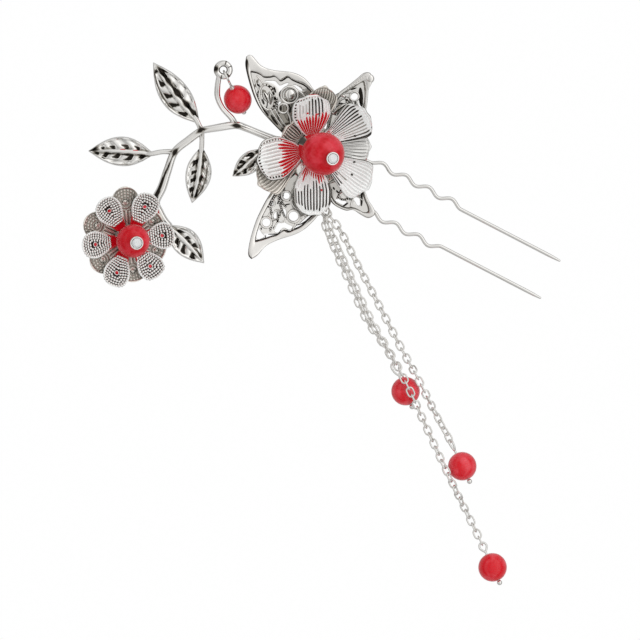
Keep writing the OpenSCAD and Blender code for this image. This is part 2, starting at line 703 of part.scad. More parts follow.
module berry_pin() {
    reach = norm(curl_hook - berry_at) - 0.15;
    color(silver) on_ornament() translate(berry_at) point_at(berry_axis) union() {
        translate([0, 0, -berry_d / 2 - ball_d / 2]) cylinder(d = pin_d, h = berry_d / 2 + ball_d / 2 + reach - berry_loop_r,
            $fn = round_fn);
        translate([0, 0, -berry_d / 2 - ball_d / 2]) sphere(d = ball_d, $fn = round_fn);
        translate([0, 0, reach]) rotate([90, 0, 0]) rotate_extrude($fn = round_fn)
            translate([berry_loop_r, 0]) circle(d = pin_d, $fn = 24);
    }
}

hang_dir = [cos(hang_turn), sin(hang_turn), 0];
jump_at = [eye_at.x, eye_at.y, jump_z] + jump_r * hang_dir;

module jump_ring() {
    color(silver) translate(jump_at) rotate([0, 0, hang_turn]) rotate([90, 0, 0]) rotate_extrude($fn = round_fn)
        translate([jump_r, 0]) circle(d = jump_wire, $fn = 24);
}

link_pitch = link_len - 2 * link_wire - link_gap;
// Distance from the middle of a link to the middle of its end wire
link_reach = (link_len - link_wire) / 2;

// Both ends of a chain's first step: its first link holds the jump ring's wire
function first_step(leave) =
    let (way = [cos(leave[0]) * cos(leave[2]), sin(leave[0]) * cos(leave[2]), sin(leave[2])], hold = link_reach - (link_wire + jump_wire) / 2 - link_gap,
        middle = jump_at + jump_r * (cos(leave[1]) * hang_dir + [0, 0, sin(leave[1])]) + hold * way)
    [middle - link_pitch / 2 * way, middle + link_pitch / 2 * way];

// Way from a drop's bead along its pin to the loop, which droops towards the surface
function pin_way(drop) = [-cos(drop[1]) * cos(pin_droop), -sin(drop[1]) * cos(pin_droop), -sin(pin_droop)];
// Both ends of a chain's last step: its last link is held by the loop's end
function last_step(drop) =
    let (hook = drop_d / 2 + pin_neck + drop[2] - loop_wire - link_wire / 2 - link_gap,
        middle = [drop[0].x, drop[0].y, drop_d / 2] + (hook + link_reach) * pin_way(drop))
    [middle + link_pitch / 2 * pin_way(drop), middle - link_pitch / 2 * pin_way(drop)];

// Links at even steps along a route, each turned about a quarter against the one before.
// The first link lies flat, the last one stands across its head pin's loop.
module chain(leave, way, drop) {
    path = curve(concat(first_step(leave), way, last_step(drop)), 6);
    run = runs(path);
    count = round(run[len(run) - 1] / link_pitch);
    step = run[len(run) - 1] / count;
    spare = (count % 2 == 0 ? 0 : 90) - drop[4];
    turn = 90 + spare / (count - 1);
    color(silver) for (i = [0:count - 1]) {
        a = at(path, run, i * step + 0.001);
        b = at(path, run, (i + 1) * step - 0.001);
        dir = b - a;
        slant = 45 * sin(90 * min(1, i / slant_links)) * sin(90 * min(1, (count - 1 - i) / slant_links));
        translate((a + b) / 2) rotate([0, 0, atan2(dir.y, dir.x)])
            rotate([0, -atan2(dir.z, norm([dir.x, dir.y])), 0]) rotate([slant + turn * i, 0, 0])
            long_ring(link_len, link_wide, link_wire);
    }
}

module chain_short() {
    chain(leave_short, way_short, drop_short);
}

module chain_mid() {
    chain(leave_mid, way_mid, drop_mid);
}

module chain_long() {
    chain(leave_long, way_long, drop_long);
}

// Place a drop's pieces with z up its pin, towards the loop
module on_drop(drop) {
    translate([drop[0].x, drop[0].y, drop_d / 2]) point_at(pin_way(drop)) children();
}

module drop_bead(drop) {
    on_drop(drop) drilled_bead(drop_d, bore_d);
}

module drop_pin(drop) {
    head = drop_d / 2 + ball_d / 2;
    color(silver) on_drop(drop) union() {
        translate([0, 0, -head]) cylinder(d = pin_d, h = head + drop_d / 2 + pin_neck + loop_wire / 2, $fn = round_fn);
        translate([0, 0, -head]) sphere(d = ball_d, $fn = round_fn);
        translate([0, 0, drop_d / 2 + pin_neck + drop[2] / 2]) rotate([0, 0, drop[4]]) rotate([0, 90, 0])
            long_ring(drop[2], drop[3], loop_wire);
    }
}

module drop_bead_short() {
    drop_bead(drop_short);
}

module drop_bead_mid() {
    drop_bead(drop_mid);
}

module drop_bead_long() {
    drop_bead(drop_long);
}

module drop_pin_short() {
    drop_pin(drop_short);
}

module drop_pin_mid() {
    drop_pin(drop_mid);
}

module drop_pin_long() {
    drop_pin(drop_long);
}

pin_fork();
centre_post();
butterfly();
back_flower();
main_flower();
main_bead();
main_stone();
branch();
small_post();
small_flower_back();
small_flower_front();
small_bead();
small_stone();
berry_bead();
berry_pin();
jump_ring();
chain_short();
chain_mid();
chain_long();
drop_bead_short();
drop_bead_mid();
drop_bead_long();
drop_pin_short();
drop_pin_mid();
drop_pin_long();
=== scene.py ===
"""Looks of the flower and butterfly hairpin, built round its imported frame.

Lengths are in millimetres until a mesh is made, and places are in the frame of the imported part: X along the
fork's legs, Z up from the surface. The ornament is turned against the fork about Z.
"""
import logging
import math
from dataclasses import dataclass, field
from enum import Enum
from functools import partial
from typing import Callable, Iterable, Optional, Sequence

import bmesh
import bpy
import numpy as np
from mathutils import Matrix, Vector


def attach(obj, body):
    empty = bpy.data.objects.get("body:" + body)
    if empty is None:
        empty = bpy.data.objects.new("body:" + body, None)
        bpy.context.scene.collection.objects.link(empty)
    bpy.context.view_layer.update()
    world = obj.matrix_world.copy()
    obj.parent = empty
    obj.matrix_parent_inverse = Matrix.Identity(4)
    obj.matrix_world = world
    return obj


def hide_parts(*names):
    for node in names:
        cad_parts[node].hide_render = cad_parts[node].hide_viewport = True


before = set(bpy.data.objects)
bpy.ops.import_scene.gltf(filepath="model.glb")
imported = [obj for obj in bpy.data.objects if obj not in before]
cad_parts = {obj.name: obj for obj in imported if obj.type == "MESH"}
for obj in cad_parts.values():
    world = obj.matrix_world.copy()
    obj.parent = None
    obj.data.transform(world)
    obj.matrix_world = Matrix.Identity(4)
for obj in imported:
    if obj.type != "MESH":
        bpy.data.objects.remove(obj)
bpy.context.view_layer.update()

LOG = logging.getLogger("hairpin")
Array = np.ndarray
Piece = bpy.types.Object
Socket = bpy.types.NodeSocket
Faces = list[tuple[int, ...]]
Pair = tuple[float, float]
Triple = tuple[float, float, float]
Pairs = tuple[Pair, ...]
Triples = tuple[Triple, ...]
MM = 0.001
BODY = "root"
# Brightness of the white tent by the angle from straight up, towards the right of the photograph
TENT = ((-90, 0.4), (-74, 0.45), (-64, 0.95), (-48, 0.95), (-38, 0.5), (-26, 0.52), (-12, 0.8), (6, 0.86), (22, 1.0),
        (38, 1.3), (58, 1.3), (74, 0.6), (90, 0.4))
TENT_PEAK = 1.4
LAY_TURN = 27.4


# ---- places and curves


def turn(axis: str, degrees: float) -> Array:
    """Matrix of a turn about an axis, in degrees."""
    return np.array(Matrix.Rotation(math.radians(degrees), 4, axis))


def shift(x: float, y: float, z: float) -> Array:
    """Matrix of a move, in millimetres."""
    return np.array(Matrix.Translation((x, y, z)))


def moved(points: Array, matrix: Array) -> Array:
    """Points carried by a matrix."""
    return points @ matrix[:3, :3].T + matrix[:3, 3]


def unit(v: Array) -> Array:
    """Vectors of length one."""
    return v / np.maximum(np.linalg.norm(v, axis=-1, keepdims=True), 1e-9)


def spline(points: Sequence[Sequence[float]], steps: int, closed: bool = False) -> Array:
    """Catmull-Rom curve through points.

    Args:
        points: places that the curve passes.
        steps: steps between each two places.
        closed: whether the curve returns to its start.

    Returns:
        The curve's points, without the start twice when it is closed.
    """
    p = np.asarray(points, dtype=float)
    n = len(p)
    spans = n if closed else n - 1
    out = []
    for i in range(spans):
        if closed:
            a, b, c, d = (p[(i + k) % n] for k in (-1, 0, 1, 2))
        else:
            a, b, c, d = p[max(i - 1, 0)], p[i], p[i + 1], p[min(i + 2, n - 1)]
        for k in range(steps):
            t = k / steps
            cubic = (3 * b - a - 3 * c + d) * t ** 3
            out.append((2 * b + (c - a) * t + (2 * a - 5 * b + 4 * c - d) * t * t + cubic) / 2)
    if not closed:
        out.append(p[-1])
    return np.array(out)


def runs(path: Array) -> Array:
    """Distance run along a path up to each of its points."""
    return np.concatenate([[0.0], np.cumsum(np.linalg.norm(np.diff(path, axis=0), axis=1))])


def angles(count: int) -> Array:
    """Even angles once round, in radians."""
    return np.arange(count) * 2 * math.pi / count


def circle_of(count: int) -> Array:
    """Points of a circle of radius one."""
    return np.stack([np.cos(angles(count)), np.sin(angles(count))], axis=1)


def xyz(x: object, y: object, z: object = 0.0) -> Array:
    """Points by their three places, each one number or a list of them."""
    return np.stack(np.broadcast_arrays(*(np.asarray(a, dtype=float) for a in (x, y, z))), axis=-1)


def grid(rows: int, cols: int) -> Sequence[Array]:
    """Places along a sheet, from nought to one, and across it, from minus one to one."""
    return np.meshgrid(np.linspace(0, 1, rows), np.linspace(-1, 1, cols), indexing="ij")


def arc(wide: float, high: float, steps: int, start: float = 0.0, end: float = math.pi) -> list[Pair]:
    """Profile of an oval by the angle from its top, between two angles."""
    return [(wide * math.sin(t), high * math.cos(t)) for t in np.linspace(start, end, steps)]


def bearing(points: Array) -> Array:
    """Direction of points from the middle, seen from above, in degrees."""
    return np.degrees(np.arctan2(points[:, 1], points[:, 0]))


def apart(angle: Array, other: float) -> Array:
    """Angle from one direction to others, between -180 and 180 degrees."""
    return (angle - other + 180) % 360 - 180


def aimed(way: Array) -> Array:
    """Matrix of a turn that sends Z along a direction."""
    tilt = math.degrees(math.atan2(math.hypot(way[0], way[1]), way[2]))
    return turn("Z", math.degrees(math.atan2(way[1], way[0]))) @ turn("Y", tilt)


def resampled(path: Array, count: int) -> Array:
    """A path's points at even distances, ends included.

    Args:
        path: the path.
        count: number of points.

    Returns:
        The points.
    """
    run = runs(path)
    at = np.linspace(0, run[-1], count)
    return np.stack([np.interp(at, run, path[:, k]) for k in range(path.shape[1])], axis=1)


# ---- finishes


class Tree:
    """Short way to add and link nodes of a shader or geometry tree."""

    def __init__(self, tree: bpy.types.NodeTree) -> None:
        """Keep the tree that nodes are added to."""
        self.tree = tree

    def add(self, kind: str, settings: Optional[dict] = None, **inputs: object) -> bpy.types.Node:
        """Add a node.

        Args:
            kind: the node's type name.
            settings: properties of the node.
            inputs: its inputs, as feed takes them.

        Returns:
            The new node.
        """
        node = self.tree.nodes.new(kind)
        for key, value in (settings or {}).items():
            setattr(node, key, value)
        self.feed(node, **inputs)
        return node

    def feed(self, node: bpy.types.Node, **inputs: object) -> None:
        """Set or link a node's inputs.

        Args:
            node: the node.
            inputs: values or output sockets, by input name with spaces as underscores, or by i0, i1 and so on.
        """
        for key, value in inputs.items():
            numbered = key[0] == "i" and key[1:].isdigit()
            socket = node.inputs[int(key[1:]) if numbered else key.replace("_", " ")]
            if isinstance(value, Socket):
                self.tree.links.new(value, socket)
            else:
                socket.default_value = value

    def math(self, operation: str, a: object, b: object = 0.0, clamp: bool = False) -> Socket:
        """Result of a Math node."""
        return self.add("ShaderNodeMath", {"operation": operation, "use_clamp": clamp}, i0=a, i1=b).outputs[0]

    def ramp(self, value: Socket, stops: Sequence[tuple[float, Triple]]) -> Socket:
        """Colour of a ramp.

        Args:
            value: place on the ramp.
            stops: places and colours of its stops.

        Returns:
            The colour.
        """
        node = self.add("ShaderNodeValToRGB", i0=value)
        band = node.color_ramp
        while len(band.elements) < len(stops):
            band.elements.new(0.5)
        for element, (place, colour) in zip(band.elements, stops):
            element.position = place
            element.color = (*colour, 1.0)
        return node.outputs[0]

    def mix(self, factor: object, a: object, b: object) -> Socket:
        """Mixed colour of two colours."""
        return self.add("ShaderNodeMix", {"data_type": "RGBA"}, i0=factor, i6=a, i7=b).outputs[2]

    def noise(self, scale: float, detail: float = 2.0) -> Socket:
        """Noise on Object coordinates, with its scale per metre."""
        place = self.add("ShaderNodeTexCoord").outputs["Object"]
        return self.add("ShaderNodeTexNoise", Vector=place, Scale=scale, Detail=detail).outputs[0]

    def step(self, value: Socket, low: float, high: float, start: float = 0.0, end: float = 1.0) -> Socket:
        """Smooth way from a start to an end while a value goes from low to high."""
        return self.add("ShaderNodeMapRange", {"interpolation_type": "SMOOTHSTEP"}, Value=value, From_Min=low,
                        From_Max=high, To_Min=start, To_Max=end).outputs[0]

    def kept(self, name: str) -> Socket:
        """Value that the mesh keeps at its points under a name."""
        return self.add("ShaderNodeAttribute", {"attribute_name": name}).outputs["Fac"]

    def bump(self, height: Socket, strength: float) -> Socket:
        """Normal of a surface with dents of up to 0.05 mm."""
        return self.add("ShaderNodeBump", Strength=strength, Distance=0.05 * MM, Height=height).outputs[0]


def new_material(name: str) -> tuple[bpy.types.Material, Tree, bpy.types.Node]:
    """A material with its tree and its principled shader.

    Args:
        name: its name.

    Returns:
        Material, tree and shader.
    """
    material = bpy.data.materials.new(name)
    material.use_nodes = True
    tree = Tree(material.node_tree)
    return material, tree, material.node_tree.nodes["Principled BSDF"]


@dataclass(frozen=True)
class SilverFinish:
    """Polished silver plate, with painted shade and dark reflections in its recesses, and fine unevenness.

    Fields:
        name: name of the material.
        colour: colour of the bright metal.
        half_shade: colour of the painted shade in shallow recesses.
        recess: colour of the painted shade and dark reflection deep in recesses.
        reach: how far, in millimetres, walls count as a recess; none if zero.
        roughness: softness of the reflections.
        dent: depth of the fine unevenness, as a strength of bump.
        dent_size: size of one dent in millimetres.
        crevice: openness below which a recess gets painted shade, and above which it stays bright.
        enamel: whether the petals' red enamel is painted from the mesh's own values.
        metal: share of mirror-like metal against its frosted white grain.
        red: colour of the enamel.
    """

    name: str
    colour: Triple = (0.8, 0.795, 0.78)
    half_shade: Triple = (0.3, 0.28, 0.245)
    recess: Triple = (0.022, 0.019, 0.016)
    reach: float = 0.0
    roughness: float = 0.09
    dent: float = 0.12
    dent_size: float = 0.8
    crevice: Pair = (0.2, 0.66)
    enamel: bool = False
    metal: float = 1.0
    red: Triple = (0.6, 0.004, 0.012)

    def make(self) -> bpy.types.Material:
        """Build the material."""
        material, tree, shader = new_material(self.name)
        cloud, tint = tree.noise(1000.0 / self.dent_size, 3.0), tree.noise(180.0)
        warm = tuple(c * f for c, f in zip(self.colour, (0.93, 0.9, 0.86)))
        colour = tree.mix(tree.math("MULTIPLY", tint, 0.55), (*self.colour, 1), (*warm, 1))
        # Painted shade: recesses found by ambient occlusion, and the shade values kept on the mesh, darken the colour.
        if self.reach > 0:
            near = tree.add("ShaderNodeAmbientOcclusion", {"samples": 4, "only_local": True}, Distance=self.reach * MM)
            deep = tree.step(near.outputs["AO"], *self.crevice, 1.0, 0.0)
            depth = tree.math("MAXIMUM", deep, tree.kept("shade"))
            colour = tree.mix(tree.step(depth, 0.08, 0.55), colour, (*self.half_shade, 1))
            colour = tree.mix(tree.step(depth, 0.5, 0.85), colour, (*self.recess, 1))
        rough = tree.add("ShaderNodeMapRange", Value=tint, To_Min=self.roughness * 0.8,
                         To_Max=self.roughness * 1.5).outputs[0]
        metal: object = self.metal
        if self.enamel:
            ragged = tree.math("MULTIPLY", tree.math("SUBTRACT", tree.noise(1700.0, 4.0), 0.5), 0.2)
            paint = tree.step(tree.math("ADD", tree.kept("enamel"), ragged), 0.42, 0.56)
            colour = tree.mix(paint, colour, (*self.red, 1))
            metal = tree.math("MULTIPLY", tree.math("SUBTRACT", 1.0, paint), self.metal)
            rough = tree.math("MAXIMUM", rough, tree.math("MULTIPLY", paint, 0.22))
        tree.feed(shader, Base_Color=colour, Metallic=metal, Roughness=rough, Specular_IOR_Level=0.2,
                  Normal=tree.bump(cloud, self.dent))
        return material


@dataclass(frozen=True)
class CoralFinish:
    """Glossy coral-red bead with soft mottling under its surface."""

    name: str = "coral bead"
    deep: Triple = (0.63, 0.002, 0.011)
    light: Triple = (0.8, 0.05, 0.075)
    coat: float = 0.25

    def make(self) -> bpy.types.Material:
        """Build the material."""
        material, tree, shader = new_material(self.name)
        cloud = tree.noise(300.0, 3.0)
        blend = tree.math("ADD", tree.math("MULTIPLY", cloud, 0.88), tree.math("MULTIPLY", tree.noise(1500.0), 0.12))
        tree.feed(shader, Base_Color=tree.ramp(blend, [(0.44, self.deep), (0.6, self.light)]), Roughness=0.3,
                  Specular_IOR_Level=0.16, Coat_Weight=self.coat, Coat_Roughness=0.08, Subsurface_Weight=0.05,
                  Subsurface_Scale=0.6 * MM, Subsurface_Radius=(1.0, 0.25, 0.2), Normal=tree.bump(cloud, 0.06))
        return material


@dataclass(frozen=True)
class StoneFinish:
    """Clear cut stone."""

    name: str = "clear stone"

    def make(self) -> bpy.types.Material:
        """Build the material."""
        material, tree, shader = new_material(self.name)
        veil = tree.ramp(tree.noise(900.0), [(0.3, (0.9, 0.94, 0.96)), (0.7, (1.0, 1.0, 1.0))])
        tree.feed(shader, Base_Color=veil, Roughness=0.04, IOR=1.7, Transmission_Weight=0.15)
        return material


class Finish(Enum):
    """The finishes of the hairpin's pieces."""

    PLATE = SilverFinish("bright silver plate")
    CAST = SilverFinish("cast silver", colour=(0.84, 0.835, 0.82), reach=0.5, roughness=0.09, dent=0.3, dent_size=0.7,
                        crevice=(0.1, 0.45), enamel=True)
    FILIGREE = SilverFinish("pierced silver", colour=(0.82, 0.81, 0.79), reach=0.6, dent=0.25, dent_size=0.5,
                            crevice=(0.15, 0.55))
    BERRY = CoralFinish("bright coral bead", (0.76, 0.006, 0.018), (0.88, 0.075, 0.1), 0.5)
    PETAL = SilverFinish("enamelled petals", colour=(0.95, 0.98, 0.98), reach=0.35, roughness=0.2, dent=0.15,
                         crevice=(0.05, 0.45), enamel=True, metal=0.3)
    # Darker, warmer silver of the ribbed layers behind the flowers: its colour is painted shade.
    SHADED = SilverFinish("shaded silver", colour=(0.83, 0.79, 0.73), reach=0.5, roughness=0.22, dent=0.3,
                          crevice=(0.1, 0.5), metal=0.6)
    WIRE = SilverFinish("plated wire", roughness=0.07, dent=0.08, dent_size=1.5)
    LINK = SilverFinish("chain silver", colour=(0.8, 0.79, 0.77), roughness=0.08, dent=0.05)
    CORAL = CoralFinish()
    STONE = StoneFinish()

    def material(self) -> bpy.types.Material:
        """The finish's material, made once."""
        return bpy.data.materials.get(self.value.name) or self.value.make()


# ---- meshes


@dataclass
class Shell:
    """A mesh in millimetres: points, faces and values kept at the points."""

    points: Array
    faces: Faces
    values: dict[str, Array] = field(default_factory=dict)

    def carried(self, matrix: Array) -> "Shell":
        """The same mesh carried by a matrix."""
        return Shell(moved(self.points, matrix), self.faces, self.values)

    def bent(self, place: Callable[[Array], Array]) -> "Shell":
        """The same mesh with its points sent through a function."""
        return Shell(place(self.points), self.faces, self.values)

    def toned(self, shade: float) -> "Shell":
        """The same mesh, with an even painted shade all over."""
        return Shell(self.points, self.faces, {"shade": np.full(len(self.points), shade)})


def joined(shells: Sequence[Shell]) -> Shell:
    """One mesh of several.

    Args:
        shells: meshes to join.

    Returns:
        The joined mesh, with zero where a mesh lacks a value.
    """
    names = sorted({name for s in shells for name in s.values})
    points, faces, start = [], [], 0
    values: dict[str, list[Array]] = {name: [] for name in names}
    for s in shells:
        points.append(s.points)
        faces.extend(tuple(i + start for i in f) for f in s.faces)
        for name in names:
            values[name].append(s.values.get(name, np.zeros(len(s.points))))
        start += len(s.points)
    return Shell(np.concatenate(points), faces, {n: np.concatenate(v) for n, v in values.items()})


def linked(name: str, data: bpy.types.ID) -> Piece:
    """A new object in the scene.

    Args:
        name: its name.
        data: its mesh, curve or camera.

    Returns:
        The object.
    """
    made = bpy.data.objects.new(name, data)
    bpy.context.scene.collection.objects.link(made)
    return made


def evaluated(holder: Piece) -> bpy.types.Mesh:
    """Plain mesh of an object as its modifiers or its curve make it."""
    graph = bpy.context.evaluated_depsgraph_get()
    return bpy.data.meshes.new_from_object(holder.evaluated_get(graph), depsgraph=graph)


def piece_of(name: str, shell: Shell, finish: Finish, sharp: float = 40.0) -> Piece:
    """Make a piece of a mesh.

    Args:
        name: name of the piece.
        shell: its mesh in millimetres.
        finish: its finish.
        sharp: angle in degrees from which an edge stays sharp.

    Returns:
        The piece, at the origin, with closed faces that point outwards.
    """
    mesh = bpy.data.meshes.new(name)
    mesh.from_pydata((shell.points * MM).tolist(), [], shell.faces)
    for key, value in shell.values.items():
        mesh.attributes.new(key, "FLOAT", "POINT").data.foreach_set("value", value.astype(np.float32))
    finished(mesh, finish, sharp)
    return linked(name, mesh)


def finished(mesh: bpy.types.Mesh, finish: Finish, sharp: float) -> None:
    """Merge a mesh's doubles, turn its faces outwards, shade it smooth and give it its finish.

    Args:
        mesh: the mesh.
        finish: its finish.
        sharp: angle in degrees from which an edge stays sharp.
    """
    work = bmesh.new()
    work.from_mesh(mesh)
    bmesh.ops.remove_doubles(work, verts=work.verts, dist=1e-7)
    bmesh.ops.recalc_face_normals(work, faces=work.faces)
    work.to_mesh(mesh)
    work.free()
    mesh.shade_smooth()
    mesh.set_sharp_from_angle(angle=math.radians(sharp))
    mesh.materials.clear()
    mesh.materials.append(finish.material())


def grid_faces(rows: int, cols: int, round_cols: bool = False, start: int = 0) -> Faces:
    """Faces of a grid of points, row after row.

    Args:
        rows: number of rows.
        cols: number of points in a row.
        round_cols: whether each row runs back into its start.
        start: number of the first point.

    Returns:
        The faces.
    """
    last = cols if round_cols else cols - 1
    return [(a + i, a + (i + 1) % cols, a + cols + (i + 1) % cols, a + cols + i)
            for a in range(start, start + (rows - 1) * cols, cols) for i in range(last)]


def rod_faces(rings: int, sides: int, closed: bool = False) -> Faces:
    """Faces of a rod.

    Args:
        rings: number of rings of points along it.
        sides: number of points in a ring.
        closed: whether it runs back into its start; flat ends close it otherwise.

    Returns:
        The faces.
    """
    last = (rings - 1) * sides
    if closed:
        ends = [(last + i, last + (i + 1) % sides, (i + 1) % sides, i) for i in range(sides)]
    else:
        ends = [tuple(reversed(range(sides))), tuple(range(last, last + sides))]
    return grid_faces(rings, sides, round_cols=True) + ends


def slab(top: Array, bottom: Array, values: Optional[dict[str, Array]] = None) -> Shell:
    """Closed mesh between two grids of points.

    Args:
        top: upper grid, rows by columns by three.
        bottom: lower grid of the same size.
        values: values at the upper grid's points, copied to the lower one.

    Returns:
        The closed mesh.
    """
    rows, cols = top.shape[:2]
    size = rows * cols
    faces = grid_faces(rows, cols) + [tuple(reversed(f)) for f in grid_faces(rows, cols, start=size)]
    rim = ([(j * cols, (j + 1) * cols) for j in range(rows - 1)]
           + [((rows - 1) * cols + i, (rows - 1) * cols + i + 1) for i in range(cols - 1)]
           + [((j + 1) * cols - 1 + cols, (j + 1) * cols - 1) for j in range(rows - 1)]
           + [(i + 1, i) for i in range(cols - 1)])
    faces += [(a, b, b + size, a + size) for a, b in rim]
    kept = {k: np.concatenate([v.ravel(), v.ravel()]) for k, v in (values or {}).items()}
    return Shell(np.concatenate([top.reshape(-1, 3), bottom.reshape(-1, 3)]), faces, kept)


def tube(path: Array, radius: object, sides: int = 12, closed: bool = False,
         section: Optional[Callable[[Array], Array]] = None, up: Sequence[float] = (0, 0, 1),
         flat: float = 1.0) -> Shell:
    """Rounded tube along a path.

    Args:
        path: points of its middle line.
        radius: one radius, or one for each point.
        sides: corners of its section.
        closed: whether it runs back into its start.
        section: factor on the radius by the angle round the section, from the side over the top.
        up: direction that the section's top is turned to.
        flat: height of the section against its width.

    Returns:
        The closed mesh, with round ends unless it is closed.
    """
    n = len(path)
    r = np.broadcast_to(np.asarray(radius, dtype=float), (n,)).copy()
    if closed:
        along = unit(np.roll(path, -1, axis=0) - np.roll(path, 1, axis=0))
    else:
        along = unit(np.gradient(path, axis=0))
        depth = np.array([0.97, 0.75, 0.4])
        caps = np.sqrt(1 - depth ** 2)
        first = path[0] - np.outer(depth * r[0] * 0.9, along[0])
        last = path[-1] + np.outer(depth[::-1] * r[-1] * 0.9, along[-1])
        path = np.concatenate([first, path, last])
        along = np.concatenate([np.repeat(along[:1], 3, 0), along, np.repeat(along[-1:], 3, 0)])
        r = np.concatenate([caps * r[0], r, caps[::-1] * r[-1]])
        n = len(path)
    side = unit(np.cross(np.asarray(up, dtype=float), along))
    top = np.cross(along, side)
    angle = angles(sides)
    factor = section(angle) if section else np.ones(sides)
    round_it = np.cos(angle)[None, :, None] * side[:, None, :] + np.sin(angle)[None, :, None] * top[:, None, :] * flat
    points = path[:, None, :] + r[:, None, None] * factor[None, :, None] * round_it
    return Shell(points.reshape(-1, 3), rod_faces(n, sides, closed))


def lathe(profile: Sequence[Sequence[float]], sides: int = 48) -> Shell:
    """Mesh of a profile turned about Z; its ends close on the axis where their radius is zero.

    Args:
        profile: pairs of radius and height, in order.
        sides: corners round the axis.

    Returns:
        The turned mesh.
    """
    p = np.asarray(profile, dtype=float)
    x, y = circle_of(sides).T
    points = np.stack([np.outer(p[:, 0], x), np.outer(p[:, 0], y), np.repeat(p[:, 1:2], sides, axis=1)], axis=2)
    return Shell(points.reshape(-1, 3), grid_faces(len(p), sides, round_cols=True))


def ring(radius: float, wire: float, sides: int = 48, corners: int = 12) -> Shell:
    """Ring of wire in the X and Y plane; the radius is that of its middle line."""
    return tube(xyz(*(radius * circle_of(sides)).T), wire / 2, corners, closed=True)


def shade_strip(points: Sequence[Sequence[float]], width: float, dark: float) -> Shell:
    """Flat run of painted shade that lies on a surface and thins out at its ends.

    Args:
        points: places that it passes, on the surface.
        width: its greatest width.
        dark: how dark the painted shade is.

    Returns:
        The closed mesh.
    """
    path = resampled(spline(points, 8), 6 * len(points))
    thin = 0.4 + 0.6 * np.sin(math.pi * np.linspace(0, 1, len(path))) ** 0.6
    return tube(path, width / 2 * thin, 8, flat=0.16).toned(dark)


def drilled_ball(diameter: float, bore: float, rows: int = 44, sides: int = 72) -> Shell:
    """Ball with a bore along Z whose mouths are rounded.

    Args:
        diameter: diameter of the ball.
        bore: diameter of the bore.
        rows: steps from mouth to mouth.
        sides: corners round the bore.

    Returns:
        The closed mesh.
    """
    r, b, rim = diameter / 2, bore / 2, 0.16
    start = math.asin((b + rim) / r)
    mouth = r * math.cos(start)
    head = [(b, 0.0), (b, mouth - rim), (b + 0.3 * rim, mouth - 0.3 * rim)]
    tail = [(x, -z) for x, z in reversed(head)]
    return lathe([*head, *arc(r, r, rows, start, math.pi - start), *tail, head[0]], sides)


def head_pin(bead: float, pin: float, ball: float, top: float) -> Shell:
    """Straight pin along Z whose ball end holds a bead.

    Args:
        bead: diameter of the bead, whose middle is at the origin.
        pin: diameter of the wire.
        ball: diameter of the ball end.
        top: height of the pin's top.

    Returns:
        Pin and ball.
    """
    head = bead / 2 + ball / 2
    shank = tube(xyz(0, 0, np.linspace(-head, top, 12)), pin / 2, 14, up=(1, 0, 0))
    return joined([shank, lathe(arc(ball / 2, ball / 2, 17), 28).carried(shift(0, 0, -head))])


def dressed(piece: Piece, slot: str, *nodes: str) -> Piece:
    """Make a piece ride on the part and stand for the CAD nodes that it replaces.

    Args:
        piece: the piece.
        slot: name of its material slot; not used.
        nodes: names of the CAD nodes.

    Returns:
        The same piece.
    """
    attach(piece, BODY)
    if nodes:
        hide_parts(*nodes)
    size = len(piece.data.polygons)
    LOG.info("%s made, %d faces, stands for %s", piece.name, size, ", ".join(nodes) or "no node")
    return piece


# ---- repeats by geometry nodes


